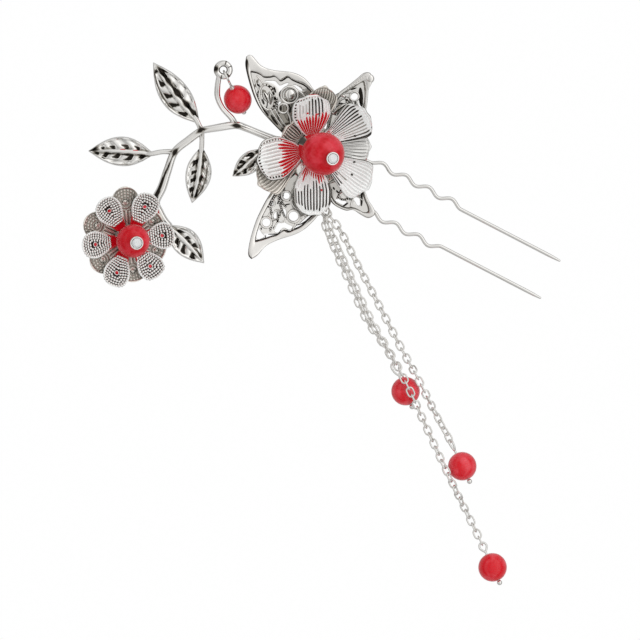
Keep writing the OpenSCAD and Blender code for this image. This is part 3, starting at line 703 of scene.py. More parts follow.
class Repeater:
    """A geometry node tree that sets one mesh on every point of another, by the points' own values."""

    def __init__(self, name: str) -> None:
        """Build the tree with its named inputs.

        Args:
            name: name of the tree.
        """
        self.tree = bpy.data.node_groups.new(name, "GeometryNodeTree")
        face = self.tree.interface
        face.new_socket("Geometry", in_out="OUTPUT", socket_type="NodeSocketGeometry")
        _, self.part, self.scale, self.cover = (
            face.new_socket(label, in_out="INPUT", socket_type="NodeSocket" + kind).identifier for label, kind in (
                ("Geometry", "Geometry"), ("Part", "Object"), ("Scale", "Float"), ("Finish", "Material")))
        tree = Tree(self.tree)
        into = tree.add("NodeGroupInput")
        part = tree.add("GeometryNodeObjectInfo", i0=into.outputs["Part"])
        spin = tree.add("GeometryNodeInputNamedAttribute", {"data_type": "FLOAT_VECTOR"}, Name="spin")
        own = tree.add("GeometryNodeInputNamedAttribute", {"data_type": "FLOAT"}, Name="size")
        size = tree.math("MULTIPLY", own.outputs["Attribute"], into.outputs["Scale"])
        euler = tree.add("FunctionNodeEulerToRotation", i0=spin.outputs["Attribute"])
        dots = tree.add("GeometryNodeMeshToPoints", Mesh=into.outputs["Geometry"])
        many = tree.add("GeometryNodeInstanceOnPoints", Points=dots.outputs[0], Instance=part.outputs["Geometry"],
                        Rotation=euler.outputs[0], Scale=size)
        real = tree.add("GeometryNodeRealizeInstances", i0=many.outputs[0])
        cover = tree.add("GeometryNodeSetMaterial", i0=real.outputs[0], Material=into.outputs["Finish"])
        tree.add("NodeGroupOutput", i0=cover.outputs[0])

    def spread(self, name: str, part: Shell, matrices: Sequence[Array], finish: Finish,
               sizes: Optional[Sequence[float]] = None, sharp: float = 50.0) -> Piece:
        """Set a mesh at many places.

        Args:
            name: name of the piece.
            part: the mesh that repeats, in millimetres.
            matrices: its places.
            finish: the finish of all.
            sizes: factor on the size of each.
            sharp: angle in degrees from which an edge stays sharp.

        Returns:
            One plain mesh piece.
        """
        one = piece_of(name + "_one", part, finish, sharp)
        base = bpy.data.meshes.new(name + "_places")
        base.from_pydata([(m[:3, 3] * MM).tolist() for m in matrices], [], [])
        spins = np.array([tuple(Matrix(m.tolist()).to_3x3().to_euler()) for m in matrices], dtype=np.float32)
        base.attributes.new("spin", "FLOAT_VECTOR", "POINT").data.foreach_set("vector", spins.ravel())
        factors = np.asarray(sizes if sizes is not None else np.ones(len(matrices)), dtype=np.float32)
        base.attributes.new("size", "FLOAT", "POINT").data.foreach_set("value", factors)
        holder = linked(name + "_holder", base)
        modifier = holder.modifiers.new("spread", "NODES")
        modifier.node_group = self.tree
        modifier[self.part] = one
        modifier[self.scale] = 1.0
        modifier[self.cover] = finish.material()
        mesh = evaluated(holder)
        mesh.name = name
        holder.modifiers.remove(modifier)
        for spare in (holder, one):
            bpy.data.objects.remove(spare)
        return linked(name, mesh)


def merged(name: str, pieces: Sequence[Piece]) -> Piece:
    """Join pieces into one, with the finishes of the first and then those of the rest.

    Args:
        name: name of the new piece.
        pieces: the pieces, which are removed.

    Returns:
        The joined piece.
    """
    work = bmesh.new()
    target = bpy.data.meshes.new(name)
    slots: list[bpy.types.Material] = []
    for piece in pieces:
        mesh = piece.data
        slots += [material for material in mesh.materials if material not in slots]
        places = [slots.index(material) for material in mesh.materials]
        start = len(work.faces)
        work.from_mesh(mesh)
        work.faces.ensure_lookup_table()
        for face in work.faces[start:]:
            face.material_index = places[face.material_index]
    work.to_mesh(target)
    work.free()
    for material in slots:
        target.materials.append(material)
    for piece in pieces:
        bpy.data.objects.remove(piece)
    return linked(name, target)


# ---- the hairpin's own sizes


@dataclass(frozen=True)
class Stack:
    """Heights and leans of the post that carries the two large flowers and the bead."""

    stack_y: float = 1.3
    post_lean: float = 24.0
    flower_lean: float = 14.0
    bend_z: float = 3.2
    back_z: float = 5.4
    main_z: float = 6.37
    bead_x: float = 0.9
    bead_z: float = 11.37

    @property
    def bend_x(self) -> float:
        """Place of the post's bend along the fork, from that of the bead."""
        return self.bead_x - (self.bead_z - self.bend_z) * math.tan(math.radians(self.post_lean))

    def on_post(self, z: float, lean: float) -> Array:
        """Matrix of a place on the leaning post."""
        x = self.bend_x + (z - self.bend_z) * math.tan(math.radians(self.post_lean))
        return shift(x, self.stack_y, z) @ turn("Y", lean)

    def post_foot(self) -> Array:
        """Matrix of the bend of the post, with Z up its leaning part."""
        return shift(self.bend_x, self.stack_y, self.bend_z) @ turn("Y", self.post_lean)


@dataclass(frozen=True)
class SmallStack:
    """Place, heights and lean of the small flower's post."""

    at: Pair = (-39.6, -16.8)
    foot: float = 2.2
    lean: float = 12.0
    back_z: float = 3.8
    front_z: float = 4.8
    bead_z: float = 9.0

    def on_post(self, z: float) -> Array:
        """Matrix of a place on the small post, with X along the fork."""
        return (turn("Z", LAY_TURN) @ shift(*self.at, self.foot) @ turn("Z", -LAY_TURN)
                @ turn("Y", self.lean) @ shift(0, 0, z - self.foot))


ORNAMENT = turn("Z", LAY_TURN)
STACK = Stack()
SMALL = SmallStack()


# ---- fork


@dataclass
class HairFork:
    """Fork of crimped wire, soldered to a round pad."""

    wire: float = 0.8
    gap: float = 8.8
    length: float = 55.4
    crimp_start: float = 10.3
    crimps: int = 4
    pitch: float = 5.4
    rise: float = 1.1
    pad: float = 13.0
    pad_height: float = 0.9

    def leg(self, side: int) -> Shell:
        """One leg, from under the pad to its blunted tip.

        Args:
            side: 1 for the left leg and -1 for the right one.

        Returns:
            The leg.
        """
        r, y = self.wire / 2, side * self.gap / 2
        end = self.crimp_start + self.crimps * self.pitch
        t = np.linspace(0, self.crimps, self.crimps * 36 + 1)
        wave = (1 - np.cos(2 * math.pi * t)) / 2
        before = xyz(np.linspace(-4.4, self.crimp_start - 0.4, 12), y, r)
        crimped = xyz(self.crimp_start + t * self.pitch, side * (self.gap / 2 + self.rise * wave), r)
        after = xyz(np.linspace(end + 0.4, self.length - 0.5 * r, 16), y, r)
        path = np.concatenate([before, crimped, after])
        radius = np.full(len(path), r * 0.985)
        radius[-2:] = (r * 0.9, r * 0.62)
        return tube(path, radius, 20)

    def disc(self) -> Shell:
        """Solder pad with rounded rims and a shallow turned step."""
        r, h = self.pad / 2, self.pad_height
        return lathe([(0, 0.08), (r * 0.62, 0.08), (r * 0.64, 0.14), (r * 0.66, 0.08), (r - 0.14, 0.08),
                      (r - 0.04, 0.12), (r, 0.22), (r, h - 0.14), (r - 0.05, h - 0.04), (r - 0.15, h), (0, h)], 96)

    def solder(self, side: int) -> Shell:
        """Solder run between a leg and the pad.

        Args:
            side: 1 for the left leg and -1 for the right one.

        Returns:
            The run.
        """
        x = np.linspace(-4.0, 4.2, 30)
        swell = 0.78 + 0.1 * np.sin(x * 1.7 + side) + 0.05 * np.sin(x * 4.1)
        return tube(xyz(x, side * self.gap / 2, 0.3), swell, 16, flat=0.36)

    def dress(self) -> None:
        """Make the fork's piece."""
        shells = [self.leg(1), self.leg(-1), self.disc(), self.solder(1), self.solder(-1)]
        dressed(piece_of("hair_fork", joined(shells), Finish.WIRE), "pin_wire", "pin_fork")


# ---- beads, stones, posts


@dataclass
class StoneSetting:
    """Round cup with a cut stone."""

    stone: float = 2.1
    wall: float = 0.3
    depth: float = 1.0
    clearance: float = 0.05

    def cup(self) -> Shell:
        """The cup, open upwards, with a rolled rim."""
        r = self.stone / 2 + self.clearance
        w = self.wall
        return lathe([(0, -0.15), (r * 0.7, -0.15), (r + w * 0.45, 0.12), (r + w * 0.9, 0.45), (r + w, 0.72),
                      (r + w, 0.9), (r + w * 0.8, 0.98), (r + w * 0.5, 1.0), (r + w * 0.18, 0.97), (r, 0.88),
                      (r * 0.99, 0.47), (0, 0.45)], 48)

    def cut(self) -> Shell:
        """The stone: table, star, kite and girdle facets over a pointed pavilion."""
        r, table, girdle = self.stone / 2, 0.2 * self.stone, 0.98
        rows = ((8, 0.56 * r, girdle + table, 0), (8, 0.8 * r, girdle + table * 0.62, 22.5), (16, r, girdle, 0))
        points = [(wide * math.cos(a), wide * math.sin(a), z) for count, wide, z, first in rows
                  for a in np.radians(360 / count * np.arange(count) + first)]
        faces: Faces = [tuple(range(8))]
        for k in range(8):
            n, star, here, half, there = (k + 1) % 8, 8 + k, 16 + 2 * k, 17 + 2 * k, 16 + (2 * k + 2) % 16
            faces += [(k, star, n), (n, star, there, 8 + n), (star, here, half), (star, half, there),
                      (32, half, here), (32, there, half)]
        return Shell(np.array([*points, (0, 0, 0.5)]), faces)


@dataclass
class CentreStack:
    """Post, bead and stone of the large flower."""

    post: float = 1.2
    bead: float = 9.0
    bore: float = 1.4
    sink: float = 0.04
    fit: float = 0.1
    lap: float = 0.2

    def dress(self) -> None:
        """Make the post with its cup, the bead and the stone."""
        setting = StoneSetting()
        height = (STACK.bead_z - STACK.bend_z) / math.cos(math.radians(STACK.post_lean))
        reach = height + self.bead / 2 - self.sink + self.fit + self.lap
        foot = STACK.post_foot()
        axis = foot[:3, 2]
        low = np.array([STACK.bend_x, STACK.stack_y, HairFork.pad_height])
        bend = foot[:3, 3]
        knee = spline([low + [0, 0, 0.4], low + [0, 0, 1.3], bend, bend + axis * 1.0, bend + axis * (reach - 0.3)], 6)
        post = tube(np.concatenate([[low + [0, 0, 0.1]], knee]), self.post / 2, 20, up=(0, 1, 0))
        cup = setting.cup().carried(foot @ shift(0, 0, reach))
        dressed(piece_of("centre_post_and_cup", joined([post, cup]), Finish.PLATE), "pin_silver", "centre_post")
        bead = drilled_ball(self.bead, self.bore).carried(STACK.on_post(STACK.bead_z, STACK.post_lean))
        dressed(piece_of("large_bead", bead, Finish.CORAL), "coral_bead", "main_bead")
        stone = setting.cut().carried(foot @ shift(0, 0, reach + 0.001))
        dressed(piece_of("large_bead_stone", stone, Finish.STONE, 5), "clear_stone", "main_stone")


# ---- chains and drops


@dataclass(frozen=True)
class Drop:
    """A drop: its bead's place, its pin's turn, its loop's length, width and roll."""

    name: str
    at: Pair
    turned: float
    loop_length: float
    loop_width: float
    loop_roll: float
    bead: float = 6.0
    bore: float = 0.7
    pin: float = 0.5
    ball: float = 1.1
    neck: float = 0.4
    droop: float = 9.0

    def way(self) -> Array:
        """Direction from the bead along its pin to the loop."""
        a, d = math.radians(self.turned), math.radians(self.droop)
        return np.array([-math.cos(a) * math.cos(d), -math.sin(a) * math.cos(d), -math.sin(d)])

    def place(self) -> Array:
        """Matrix with Z up the pin, towards the loop."""
        return shift(*self.at, self.bead / 2) @ aimed(self.way())

    def loop(self) -> Shell:
        """Drop-shaped loop, bent from the pin's own wire."""
        length, half, wire = self.loop_length, self.loop_width / 2, self.pin * 0.45
        start = self.bead / 2 + self.neck
        span, wide = length - 2 * wire, half - wire
        right = [(0.02, 0.0), (wide * 0.36, span * 0.12), (wide * 0.74, span * 0.32), (wide, span - wide * 1.15),
                 (wide * 0.72, span - wide * 0.32)]
        outline = [*right, (0, span), *[(-x, y) for x, y in reversed(right)]]
        flat = spline([(0.0, x, y) for x, y in outline], 6)
        flat[:, 2] += start + wire
        return tube(flat, wire, 14, up=(1, 0, 0)).carried(turn("Z", self.loop_roll))

    def metal(self) -> Shell:
        """Pin with its ball end and its loop."""
        pin = head_pin(self.bead, self.pin, self.ball, self.bead / 2 + self.neck + 0.2)
        return joined([pin, self.loop()]).carried(self.place())

    def dress(self) -> None:
        """Make the bead and its pin."""
        bead = drilled_ball(self.bead, self.bore, 36, 56).carried(self.place())
        dressed(piece_of("drop_bead_" + self.name + "_coral", bead, Finish.BERRY), "coral_bead",
                "drop_bead_" + self.name)
        dressed(piece_of("head_pin_" + self.name, self.metal(), Finish.PLATE), "pin_silver", "drop_pin_" + self.name)


@dataclass(frozen=True)
class Strand:
    """A chain's route: the way it leaves the jump ring, the points it passes and the drop that ends it."""

    name: str
    leave: Triple
    way: Triples
    drop: Drop


STRANDS = (
    Strand("short", (-80, -28, -16),
           ((7.5, -11, 0.98), (10.4, -13.8, 0.95), (16.6, -18.7, 0.95), (24.3, -24.8, 0.95), (27.4, -26.6, 0.98),
            (30.2, -28, 1.12)),
           Drop("short", (39.1, -34.8), -40, 3.4, 2.1, 0)),
    Strand("mid", (-30, 0, 0),
           ((9.9, -10.3, 1.9), (12.4, -11.8, 1.3), (17.8, -15.7, 0.95), (26.1, -21.5, 0.95), (33, -26.4, 0.95),
            (36.8, -29, 2.4), (39.2, -30.6, 4.5), (41.2, -32, 5.15), (43, -33.3, 4.5), (45.6, -35.2, 2.4),
            (48.2, -37, 1.2)),
           Drop("mid", (56.9, -43.3), -37, 3, 1.9, 60)),
    Strand("long", (-62, 28, 20),
           ((8.6, -11.2, 3.6), (11, -13.2, 3), (17, -18, 2.85), (24.7, -24.1, 2.85), (30.6, -28, 3.15),
            (33.6, -29.9, 4.5), (36.3, -31.7, 6.1), (38.8, -33.5, 7.05), (41.4, -35.5, 6.4), (44.4, -37.9, 4.4),
            (47.6, -40.4, 3.4), (51, -43.1, 4.2), (54.8, -46, 5.2), (58, -48.4, 3.9), (61, -50.6, 1.7),
            (63.6, -52.5, 1.1)),
           Drop("long", (72.3, -59.2), -38, 2.5, 2, 0)),
)


@dataclass
class ChainSet:
    """Jump ring and three strands of cable chain."""

    link_wire: float = 0.36
    link_length: float = 2.45
    link_width: float = 1.75
    link_gap: float = 0.14
    ring_radius: float = 1.9
    ring_wire: float = 0.5
    hang_turn: float = -60.0
    eye: Pair = (5.0, -5.6)
    clearance: float = 0.1
    slant_links: int = 9

    def __post_init__(self) -> None:
        """Work out the pitch, the ring's place and its direction."""
        self.pitch = self.link_length - 2 * self.link_wire - self.link_gap
        self.reach = (self.link_length - self.link_wire) / 2
        a = math.radians(self.hang_turn)
        self.hang = np.array([math.cos(a), math.sin(a), 0.0])
        height = self.ring_radius + self.ring_wire / 2 + self.clearance
        self.middle = np.array([*self.eye, height]) + self.ring_radius * self.hang

    def link(self) -> Shell:
        """One oval link, long way along X."""
        half = (self.link_width - self.link_wire) / 2
        straight = (self.link_length - self.link_width) / 2
        bends = np.radians(np.linspace(-90, 90, 9))
        right = xyz(straight + half * np.cos(bends), half * np.sin(bends))
        return tube(np.concatenate([right, right * [-1, -1, 1]]), self.link_wire / 2, 9, closed=True)

    def ends(self, strand: Strand) -> tuple[list[Array], list[Array]]:
        """First and last step of a strand, on the ring and on the pin's loop.

        Args:
            strand: the strand.

        Returns:
            The two points of the first step, and those of the last.
        """
        turned, on_ring, rise = (math.radians(x) for x in strand.leave)
        way = np.array([math.cos(turned) * math.cos(rise), math.sin(turned) * math.cos(rise), math.sin(rise)])
        hold = self.reach - (self.link_wire + self.ring_wire) / 2 - self.link_gap
        on_wire = math.cos(on_ring) * self.hang + np.array([0, 0, math.sin(on_ring)])
        first = self.middle + self.ring_radius * on_wire + hold * way
        drop = strand.drop
        hook = drop.bead / 2 + drop.neck + drop.loop_length - drop.pin * 0.9 - self.link_wire / 2 - self.link_gap
        last = np.array([*drop.at, drop.bead / 2]) + (hook + self.reach) * drop.way()
        half = self.pitch / 2
        return [first - half * way, first + half * way], [last + half * drop.way(), last - half * drop.way()]

    def places(self, strand: Strand) -> list[Array]:
        """Matrices of a strand's links.

        Args:
            strand: the strand.

        Returns:
            One matrix for each link.
        """
        start, end = self.ends(strand)
        path = spline([*start, *strand.way, *end], 6)
        count = round(runs(path)[-1] / self.pitch)
        points = resampled(path, count + 1)
        spare = (0 if count % 2 == 0 else 90) - strand.drop.loop_roll
        roll = 90 + spare / (count - 1)
        out = []
        for i in range(count):
            step = points[i + 1] - points[i]
            from_ends = (min(1.0, n / self.slant_links) for n in (i, count - 1 - i))
            slant = 45 * math.prod(math.sin(math.pi / 2 * part) for part in from_ends)
            azimuth = math.degrees(math.atan2(step[1], step[0]))
            rise = math.degrees(math.atan2(step[2], math.hypot(step[0], step[1])))
            out.append(shift(*((points[i] + points[i + 1]) / 2)) @ turn("Z", azimuth) @ turn("Y", -rise)
                       @ turn("X", slant + roll * i))
        return out

    def dress(self, repeater: Repeater) -> None:
        """Make the ring, the three strands and the drops.

        Args:
            repeater: the tree that sets links on points.
        """
        loop = ring(self.ring_radius, self.ring_wire, 56, 14).carried(
            shift(*self.middle) @ turn("Z", self.hang_turn) @ turn("X", 90))
        dressed(piece_of("jump_ring_wire", loop, Finish.LINK), "chain_silver", "jump_ring")
        for strand in STRANDS:
            links = repeater.spread("cable_chain_" + strand.name, self.link(), self.places(strand), Finish.LINK)
            dressed(links, "chain_silver", "chain_" + strand.name)
            strand.drop.dress()


# ---- large flowers


def share(table: Sequence[Pair], v: Array) -> Array:
    """Smoothly drawn value of a table of pairs at each v."""
    curve = spline(table, 8)
    return np.interp(v, curve[:, 0], curve[:, 1])


def ramp(value: Array, low: float, high: float) -> Array:
    """Share of the way from one value to another, from nought to one."""
    return np.clip((value - low) / (high - low), 0, 1)


def max_of(values: Iterable[Array]) -> Array:
    """Greatest of several values, place by place."""
    return np.max(np.stack(list(values)), axis=0)


FAN = ((0, 0.3), (0.15, 0.4), (0.3, 0.54), (0.45, 0.7), (0.6, 0.85), (0.72, 0.95), (0.82, 1), (0.91, 0.95),
       (0.97, 0.8), (1, 0.66))
OVAL = ((0, 0.33), (0.13, 0.58), (0.33, 0.86), (0.5, 1), (0.67, 1), (0.8, 0.98), (0.92, 0.88), (1, 0.72))


@dataclass(frozen=True)
class Petal:
    """One stamped petal; its first side is the clockwise one.

    Fields:
        turned: its direction on the ornament, in degrees.
        reach: share of the flower's reach.
        width: share of the flower's width.
        shape: half width along the petal.
        red: how far enamel runs at the first side, the middle and the other side, as shares of the length.
        strokes: painted shade in the grooves: place across, where it starts and ends, and its strength.
        dashes: strength of the painted shade dashes inside the rim at the first side, the middle and the other side.
        outline: darkness of the painted shade along the edge at the first side, the tip and the other side.
        red_edge: part of the tip's edge that is red, as places across.
        seed: seed of the unevenness.
        tone: darkness of the painted shade between the ribs of a ribbed petal; below 0.3 it is made in the cast finish.
        specks: small spots of enamel: place across, along, and how red they are.
    """

    turned: float
    reach: float = 1.0
    width: float = 1.0
    shape: Pairs = FAN
    red: Triple = (0.0, 0.0, 0.0)
    strokes: tuple[tuple[float, float, float, float], ...] = ((0.0, 0.2, 0.9, 0.2),)
    dashes: Triple = (0.0, 0.0, 0.0)
    outline: Triple = (0.3, 0.3, 0.3)
    red_edge: Pair = (0.0, 0.0)
    seed: int = 1
    tone: float = 0.5
    specks: Triples = ()


@dataclass
class LargeFlower:
    """Two stamped layers of five petals: the fluted and enamelled one, and the ribbed one behind it."""

    hub: float = 3.0
    reach: float = 13.2
    sheet: float = 0.4
    flute: float = 0.12
    lip: float = 0.55
    bore: float = 1.7
    front: tuple[Petal, ...] = (
        Petal(96, 0.89, 0.9, OVAL, (0.56, 0.46, 0.36),
              ((-1, 0.3, 0.9, 0.1), (-0.75, 0.3, 0.9, 0.1), (-0.64, 0.3, 0.93, 1), (0, 0.38, 0.93, 1),
               (0.14, 0.5, 0.85, 0.35), (1, 0.4, 0.8, 0.2)),
              (0.0, 0.4, 1.0), (0.9, 0.3, 0.3), (-0.75, 0.1), 3, specks=((0.18, 0.55, 1), (-0.34, 0.5, 1))),
        Petal(35, 1.03, 0.9, FAN, (0.0, 0.1, 0.27),
              ((-1, 0.1, 0.95, 1), (-0.84, 0.1, 0.95, 1), (-0.7, 0.3, 0.85, 0.35), (-0.1, 0.25, 0.9, 0.4),
               (0.1, 0.15, 0.9, 0.85),
               (0.85, 0.12, 0.93, 1), (1, 0.1, 0.9, 0.4)), outline=(1, 0.9, 0.3), seed=5, specks=((-0.75, 0.53, 0),)),
        Petal(-34, 1.05, 0.95, FAN, (0.0, 0.0, 0.0),
              ((-1, 0.2, 0.6, 1), (-0.75, 0.15, 0.62, 1), (-0.5, 0.1, 0.3, 0.8), (-0.35, 0.2, 0.9, 0.16),
               (1, 0.2, 0.9, 0.16)),
              outline=(0.2, 0.4, 0.8), seed=8, specks=((0.76, 0.5, 0), (0.03, 0.6, 0))),
        Petal(-93, 1.04, 0.86, OVAL, (0.3, 0.31, 0.36),
              ((-1, 0.5, 0.85, 0.6), (-0.7, 0.5, 0.9, 0.9), (-0.3, 0.4, 0.93, 1), (0.3, 0.3, 0.93, 1),
               (0.8, 0.3, 0.9, 1), (1, 0.3, 0.9, 0.7)),
              outline=(0.4, 0.5, 0.8), seed=11, specks=((0.5, 0.5, 1),)),
        Petal(191, 0.97, 0.98, OVAL, (0.4, 0.48, 0.52),
              ((-1, 0.3, 0.8, 0.2), (0.5, 0.4, 0.85, 0.28), (1, 0.4, 0.85, 0.2)), (0.6, 1.0, 0.9), (0.5, 1, 0.9),
              seed=14),
    )
    behind: tuple[Petal, ...] = (
        Petal(-148, 1.05, 0.95), Petal(-70, 0.6, 0.9, OVAL), Petal(2, 0.93, 0.95, tone=0.2),
        Petal(80, 1.02, 0.72, tone=0.6), Petal(140, 0.55, 0.8, OVAL, tone=0.8),
    )

    def surface(self, petal: Petal, rows: int, cols: int, plain: bool) -> Shell:
        """One petal along X as a closed sheet, with its enamel and its painted shade.

        Args:
            petal: the petal.
            rows: steps along it.
            cols: steps across it.
            plain: whether it is a ribbed petal of the layer behind.

        Returns:
            The petal.
        """
        width, cup, flutes = (8.4, 2.2, 11) if plain else (9.2, 2.8, 12)
        v, u = grid(rows, cols)
        own = (self.reach * petal.reach - self.hub) / (self.reach - self.hub)
        half = width * petal.width / 2 * share(petal.shape, v)
        rng = np.random.default_rng(petal.seed)
        wave = 0.12 * np.sin(u * 5 + petal.seed) + 0.08 * np.sin(u * 9 + 2 * petal.seed)
        along = self.hub + (self.reach - self.hub) * own * v * (1 - 0.12 * u * u * v) + wave * v ** 6
        side_gap, tip_gap = (1 - np.abs(u)) * half, (1 - v) * (self.reach - self.hub) * own
        gap = np.where(v > 0.3, np.minimum(side_gap, tip_gap), side_gap)
        inside = ramp(gap, self.lip, self.lip + 0.2)
        phase = (u + 1) / 2 * flutes
        wavy = 0.5 + 0.5 * np.cos(2 * math.pi * phase)
        groove = 1 - wavy
        fine = self.flute * wavy ** 1.6 * inside * np.clip(v * 6, 0, 1)
        lip = 0.2 * np.exp(-((gap - self.lip * 0.5) / (self.lip * 0.4)) ** 2) * np.clip((v - 0.1) * 6, 0, 1)
        bowl = cup * (own * v) ** 1.5 + 0.45 * u * u * np.sin(math.pi * v) - 0.25 * ramp(v, 0.86, 1) ** 2
        top = xyz(along, half * u, bowl + fine + lip)
        bottom = xyz(along, half * u, bowl + fine - self.sheet)
        if plain:
            # Painted shade between the ribs and inside the rim of a ribbed petal.
            between = petal.tone * (0.3 + 0.7 * ramp(groove, 0.4, 0.85)) * inside
            shade = between + petal.tone * ramp(gap, self.lip + 0.05, self.lip - 0.1) * ramp(gap, 0.3, 0.42)
            return slab(top, bottom, {"shade": shade * np.clip(v * 5, 0, 1)})
        index = np.clip(phase.astype(int), 0, flutes - 1)
        middle = (np.arange(flutes) + 0.5) / flutes * 2 - 1
        # Painted shade and dark reflection: a dark run down each groove, dashes inside the rim and a dark edge.
        table = np.array(petal.strokes)
        start, end, strength = (np.interp(middle, table[:, 0], table[:, k]) for k in (1, 2, 3))
        start, end = start + rng.uniform(-0.06, 0.08, flutes), end + rng.uniform(-0.05, 0.02, flutes)
        taper = np.minimum(np.clip((v - start[index]) / 0.06, 0, 1), np.clip((end[index] - v) / 0.05, 0, 1))
        thin = 0.7 - 0.32 * np.clip((v - start[index]) / (end - start)[index], 0, 1)
        bold = np.minimum(strength * rng.uniform(1.0, 1.3, flutes), 1)[index]
        stroke = bold * ramp(groove * taper, thin, thin + 0.14)
        near = ramp(gap, self.lip * 0.72, self.lip * 0.9) * ramp(gap, self.lip + 0.42, self.lip + 0.22) * (v > 0.35)
        beat = np.where(side_gap < tip_gap, 0.5 + 0.5 * np.cos(along * 2 * math.pi / 0.66), groove)
        dash = np.interp(u, (-1, 0, 1), petal.dashes) * near * ramp(beat, 0.3, 0.5)
        outer = np.interp(u, (-1, 0, 1), petal.outline) * ramp(gap, 0.2, 0.1) * ramp(v, 0.1, 0.2)
        run = np.interp(middle, (-1, 0, 1), petal.red)
        run = run + rng.uniform(-0.09, 0.07, flutes) * (run > 0.08)
        left = np.clip((run[index] - v) / 0.12, 0, 1) ** 0.5
        wet = ramp(groove, 1.0 - 0.97 * left, 1.07 - 0.97 * left) * (run[index] > 0.05)
        low, high = petal.red_edge
        tip = (u > low) * (u < high) * ramp(gap, 0.16, 0.05) * (v > 0.8)
        wet = np.maximum(wet * ramp(gap, 0.25, 0.4), tip)
        shade = max_of([stroke, dash, outer])
        for across, far, red in petal.specks:
            spot = np.hypot((u - across) * half, along - self.hub - (self.reach - self.hub) * own * far)
            wet = np.maximum(wet, red * ramp(spot, 0.26, 0.16))
            shade = np.maximum(shade, (1 - red) * ramp(spot, 0.28, 0.18))
        return slab(top, bottom, {"enamel": wet, "shade": shade * (1 - wet)})

    def hub_disc(self, petals: Sequence[Petal]) -> Shell:
        """Flat middle of a layer with the post's hole, enamelled before its red petals and with painted shade
        elsewhere.

        Args:
            petals: the layer's petals.

        Returns:
            The disc.
        """
        r, b, t = self.hub + 0.35, self.bore / 2, self.sheet
        disc = lathe([(b, -t), (r - 0.1, -t), (r, -t * 0.7), (r, -t * 0.3), (r - 0.1, 0.02), (b, 0.02), (b, -t)], 64)
        angle = bearing(disc.points)
        red = max_of(ramp(np.abs(apart(angle, p.turned)), 34, 26) * (p.red[1] > 0.2) for p in petals)
        # Painted shade on the hub between the petals.
        disc.values = {"enamel": red, "shade": 0.75 * (1 - red)}
        return disc

    def dress(self) -> None:
        """Make both layers."""
        for name, slot, node, height, petals, finish, plain in (
                ("fluted_flower", "enamelled_silver", "main_flower", STACK.main_z, self.front, Finish.PETAL, False),
                ("ribbed_flower", "dull_silver", "back_flower", STACK.back_z, self.behind, Finish.SHADED, True)):
            rows, cols = (46, 105) if plain else (66, 145)
            place = STACK.on_post(height, STACK.flower_lean) @ ORNAMENT
            shells = {p: self.surface(p, rows, cols, plain).carried(place @ turn("Z", p.turned)) for p in petals}
            # Painted shade: the ribbed petals keep the darker shaded finish, and the lit one is made apart in the
            # brighter cast finish.
            rest = [shell for p, shell in shells.items() if p.tone > 0.3]
            dressed(piece_of(name, joined([*rest, self.hub_disc(petals).carried(place)]), finish, 60), slot, node)
            for p in petals:
                if p.tone < 0.3:
                    dressed(piece_of(f"bright_{name}", shells[p], Finish.CAST, 60), slot, node)


# ---- butterfly


class Mark(Enum):
    """Kinds of relief on a wing."""

    RING = "ring"
    OVAL = "oval"
    DOME = "dome"
    LEAF = "leaf"
    STEM = "stem"
    ROPE = "rope"


@dataclass(frozen=True)
class Relief:
    """A raised detail.

    Fields:
        kind: what it is.
        points: its places on the ornament.
        size: its radius, its width or, for an oval, its length.
        width: width of an oval.
        turned: turn of an oval, in degrees.
        wire: thickness of a ring or an oval.
        lift: height over the plate.
        hole: radius of the opening in it.
    """

    kind: Mark
    points: Pairs
    size: float
    width: float = 0.0
    turned: float = 0.0
    wire: float = 0.42
    lift: float = 0.0
    hole: float = 0.0


@dataclass(frozen=True)
class Wing:
    """A pierced wing: outer and inner edge of its polished band on either side of the tip, openings and relief.

    Edges run from the root to the tip; places are on the ornament. A run of painted shade is a width, a darkness
    and the places that it passes; the tone is the painted shade on the plate near the middle, which ends between
    two distances from the middle; the line is the darkness of the painted shade in the bands' inner grooves, and
    dark_a and dark_b give the painted shade along each band's outer edge.
    """

    name: str
    outer_a: Pairs
    inner_a: Pairs
    outer_b: Pairs
    inner_b: Pairs
    openings: tuple[Pairs, ...]
    relief: tuple[Relief, ...]
    shade_runs: tuple[tuple[float, ...], ...] = ()
    tone: float = 0.2
    line: float = 1.0
    bright: Pair = (19.0, 14.0)
    dark_a: tuple[float, float, float, float] = (0.3, 0.3, 0.7, 0.5)
    dark_b: tuple[float, float, float, float] = (0.12, 0.12, 0.4, 0.3)


def pairs(*flat: float) -> Pairs:
    """Places from their numbers in a row."""
    return tuple(zip(flat[::2], flat[1::2]))


def detail(kind: Mark, size: float, *way: float, **more: float) -> Relief:
    """A raised detail by the numbers of its places in a row."""
    return Relief(kind, pairs(*way), size, **more)


circle, oval, dome, blade, stem, rope = (partial(detail, kind) for kind in Mark)

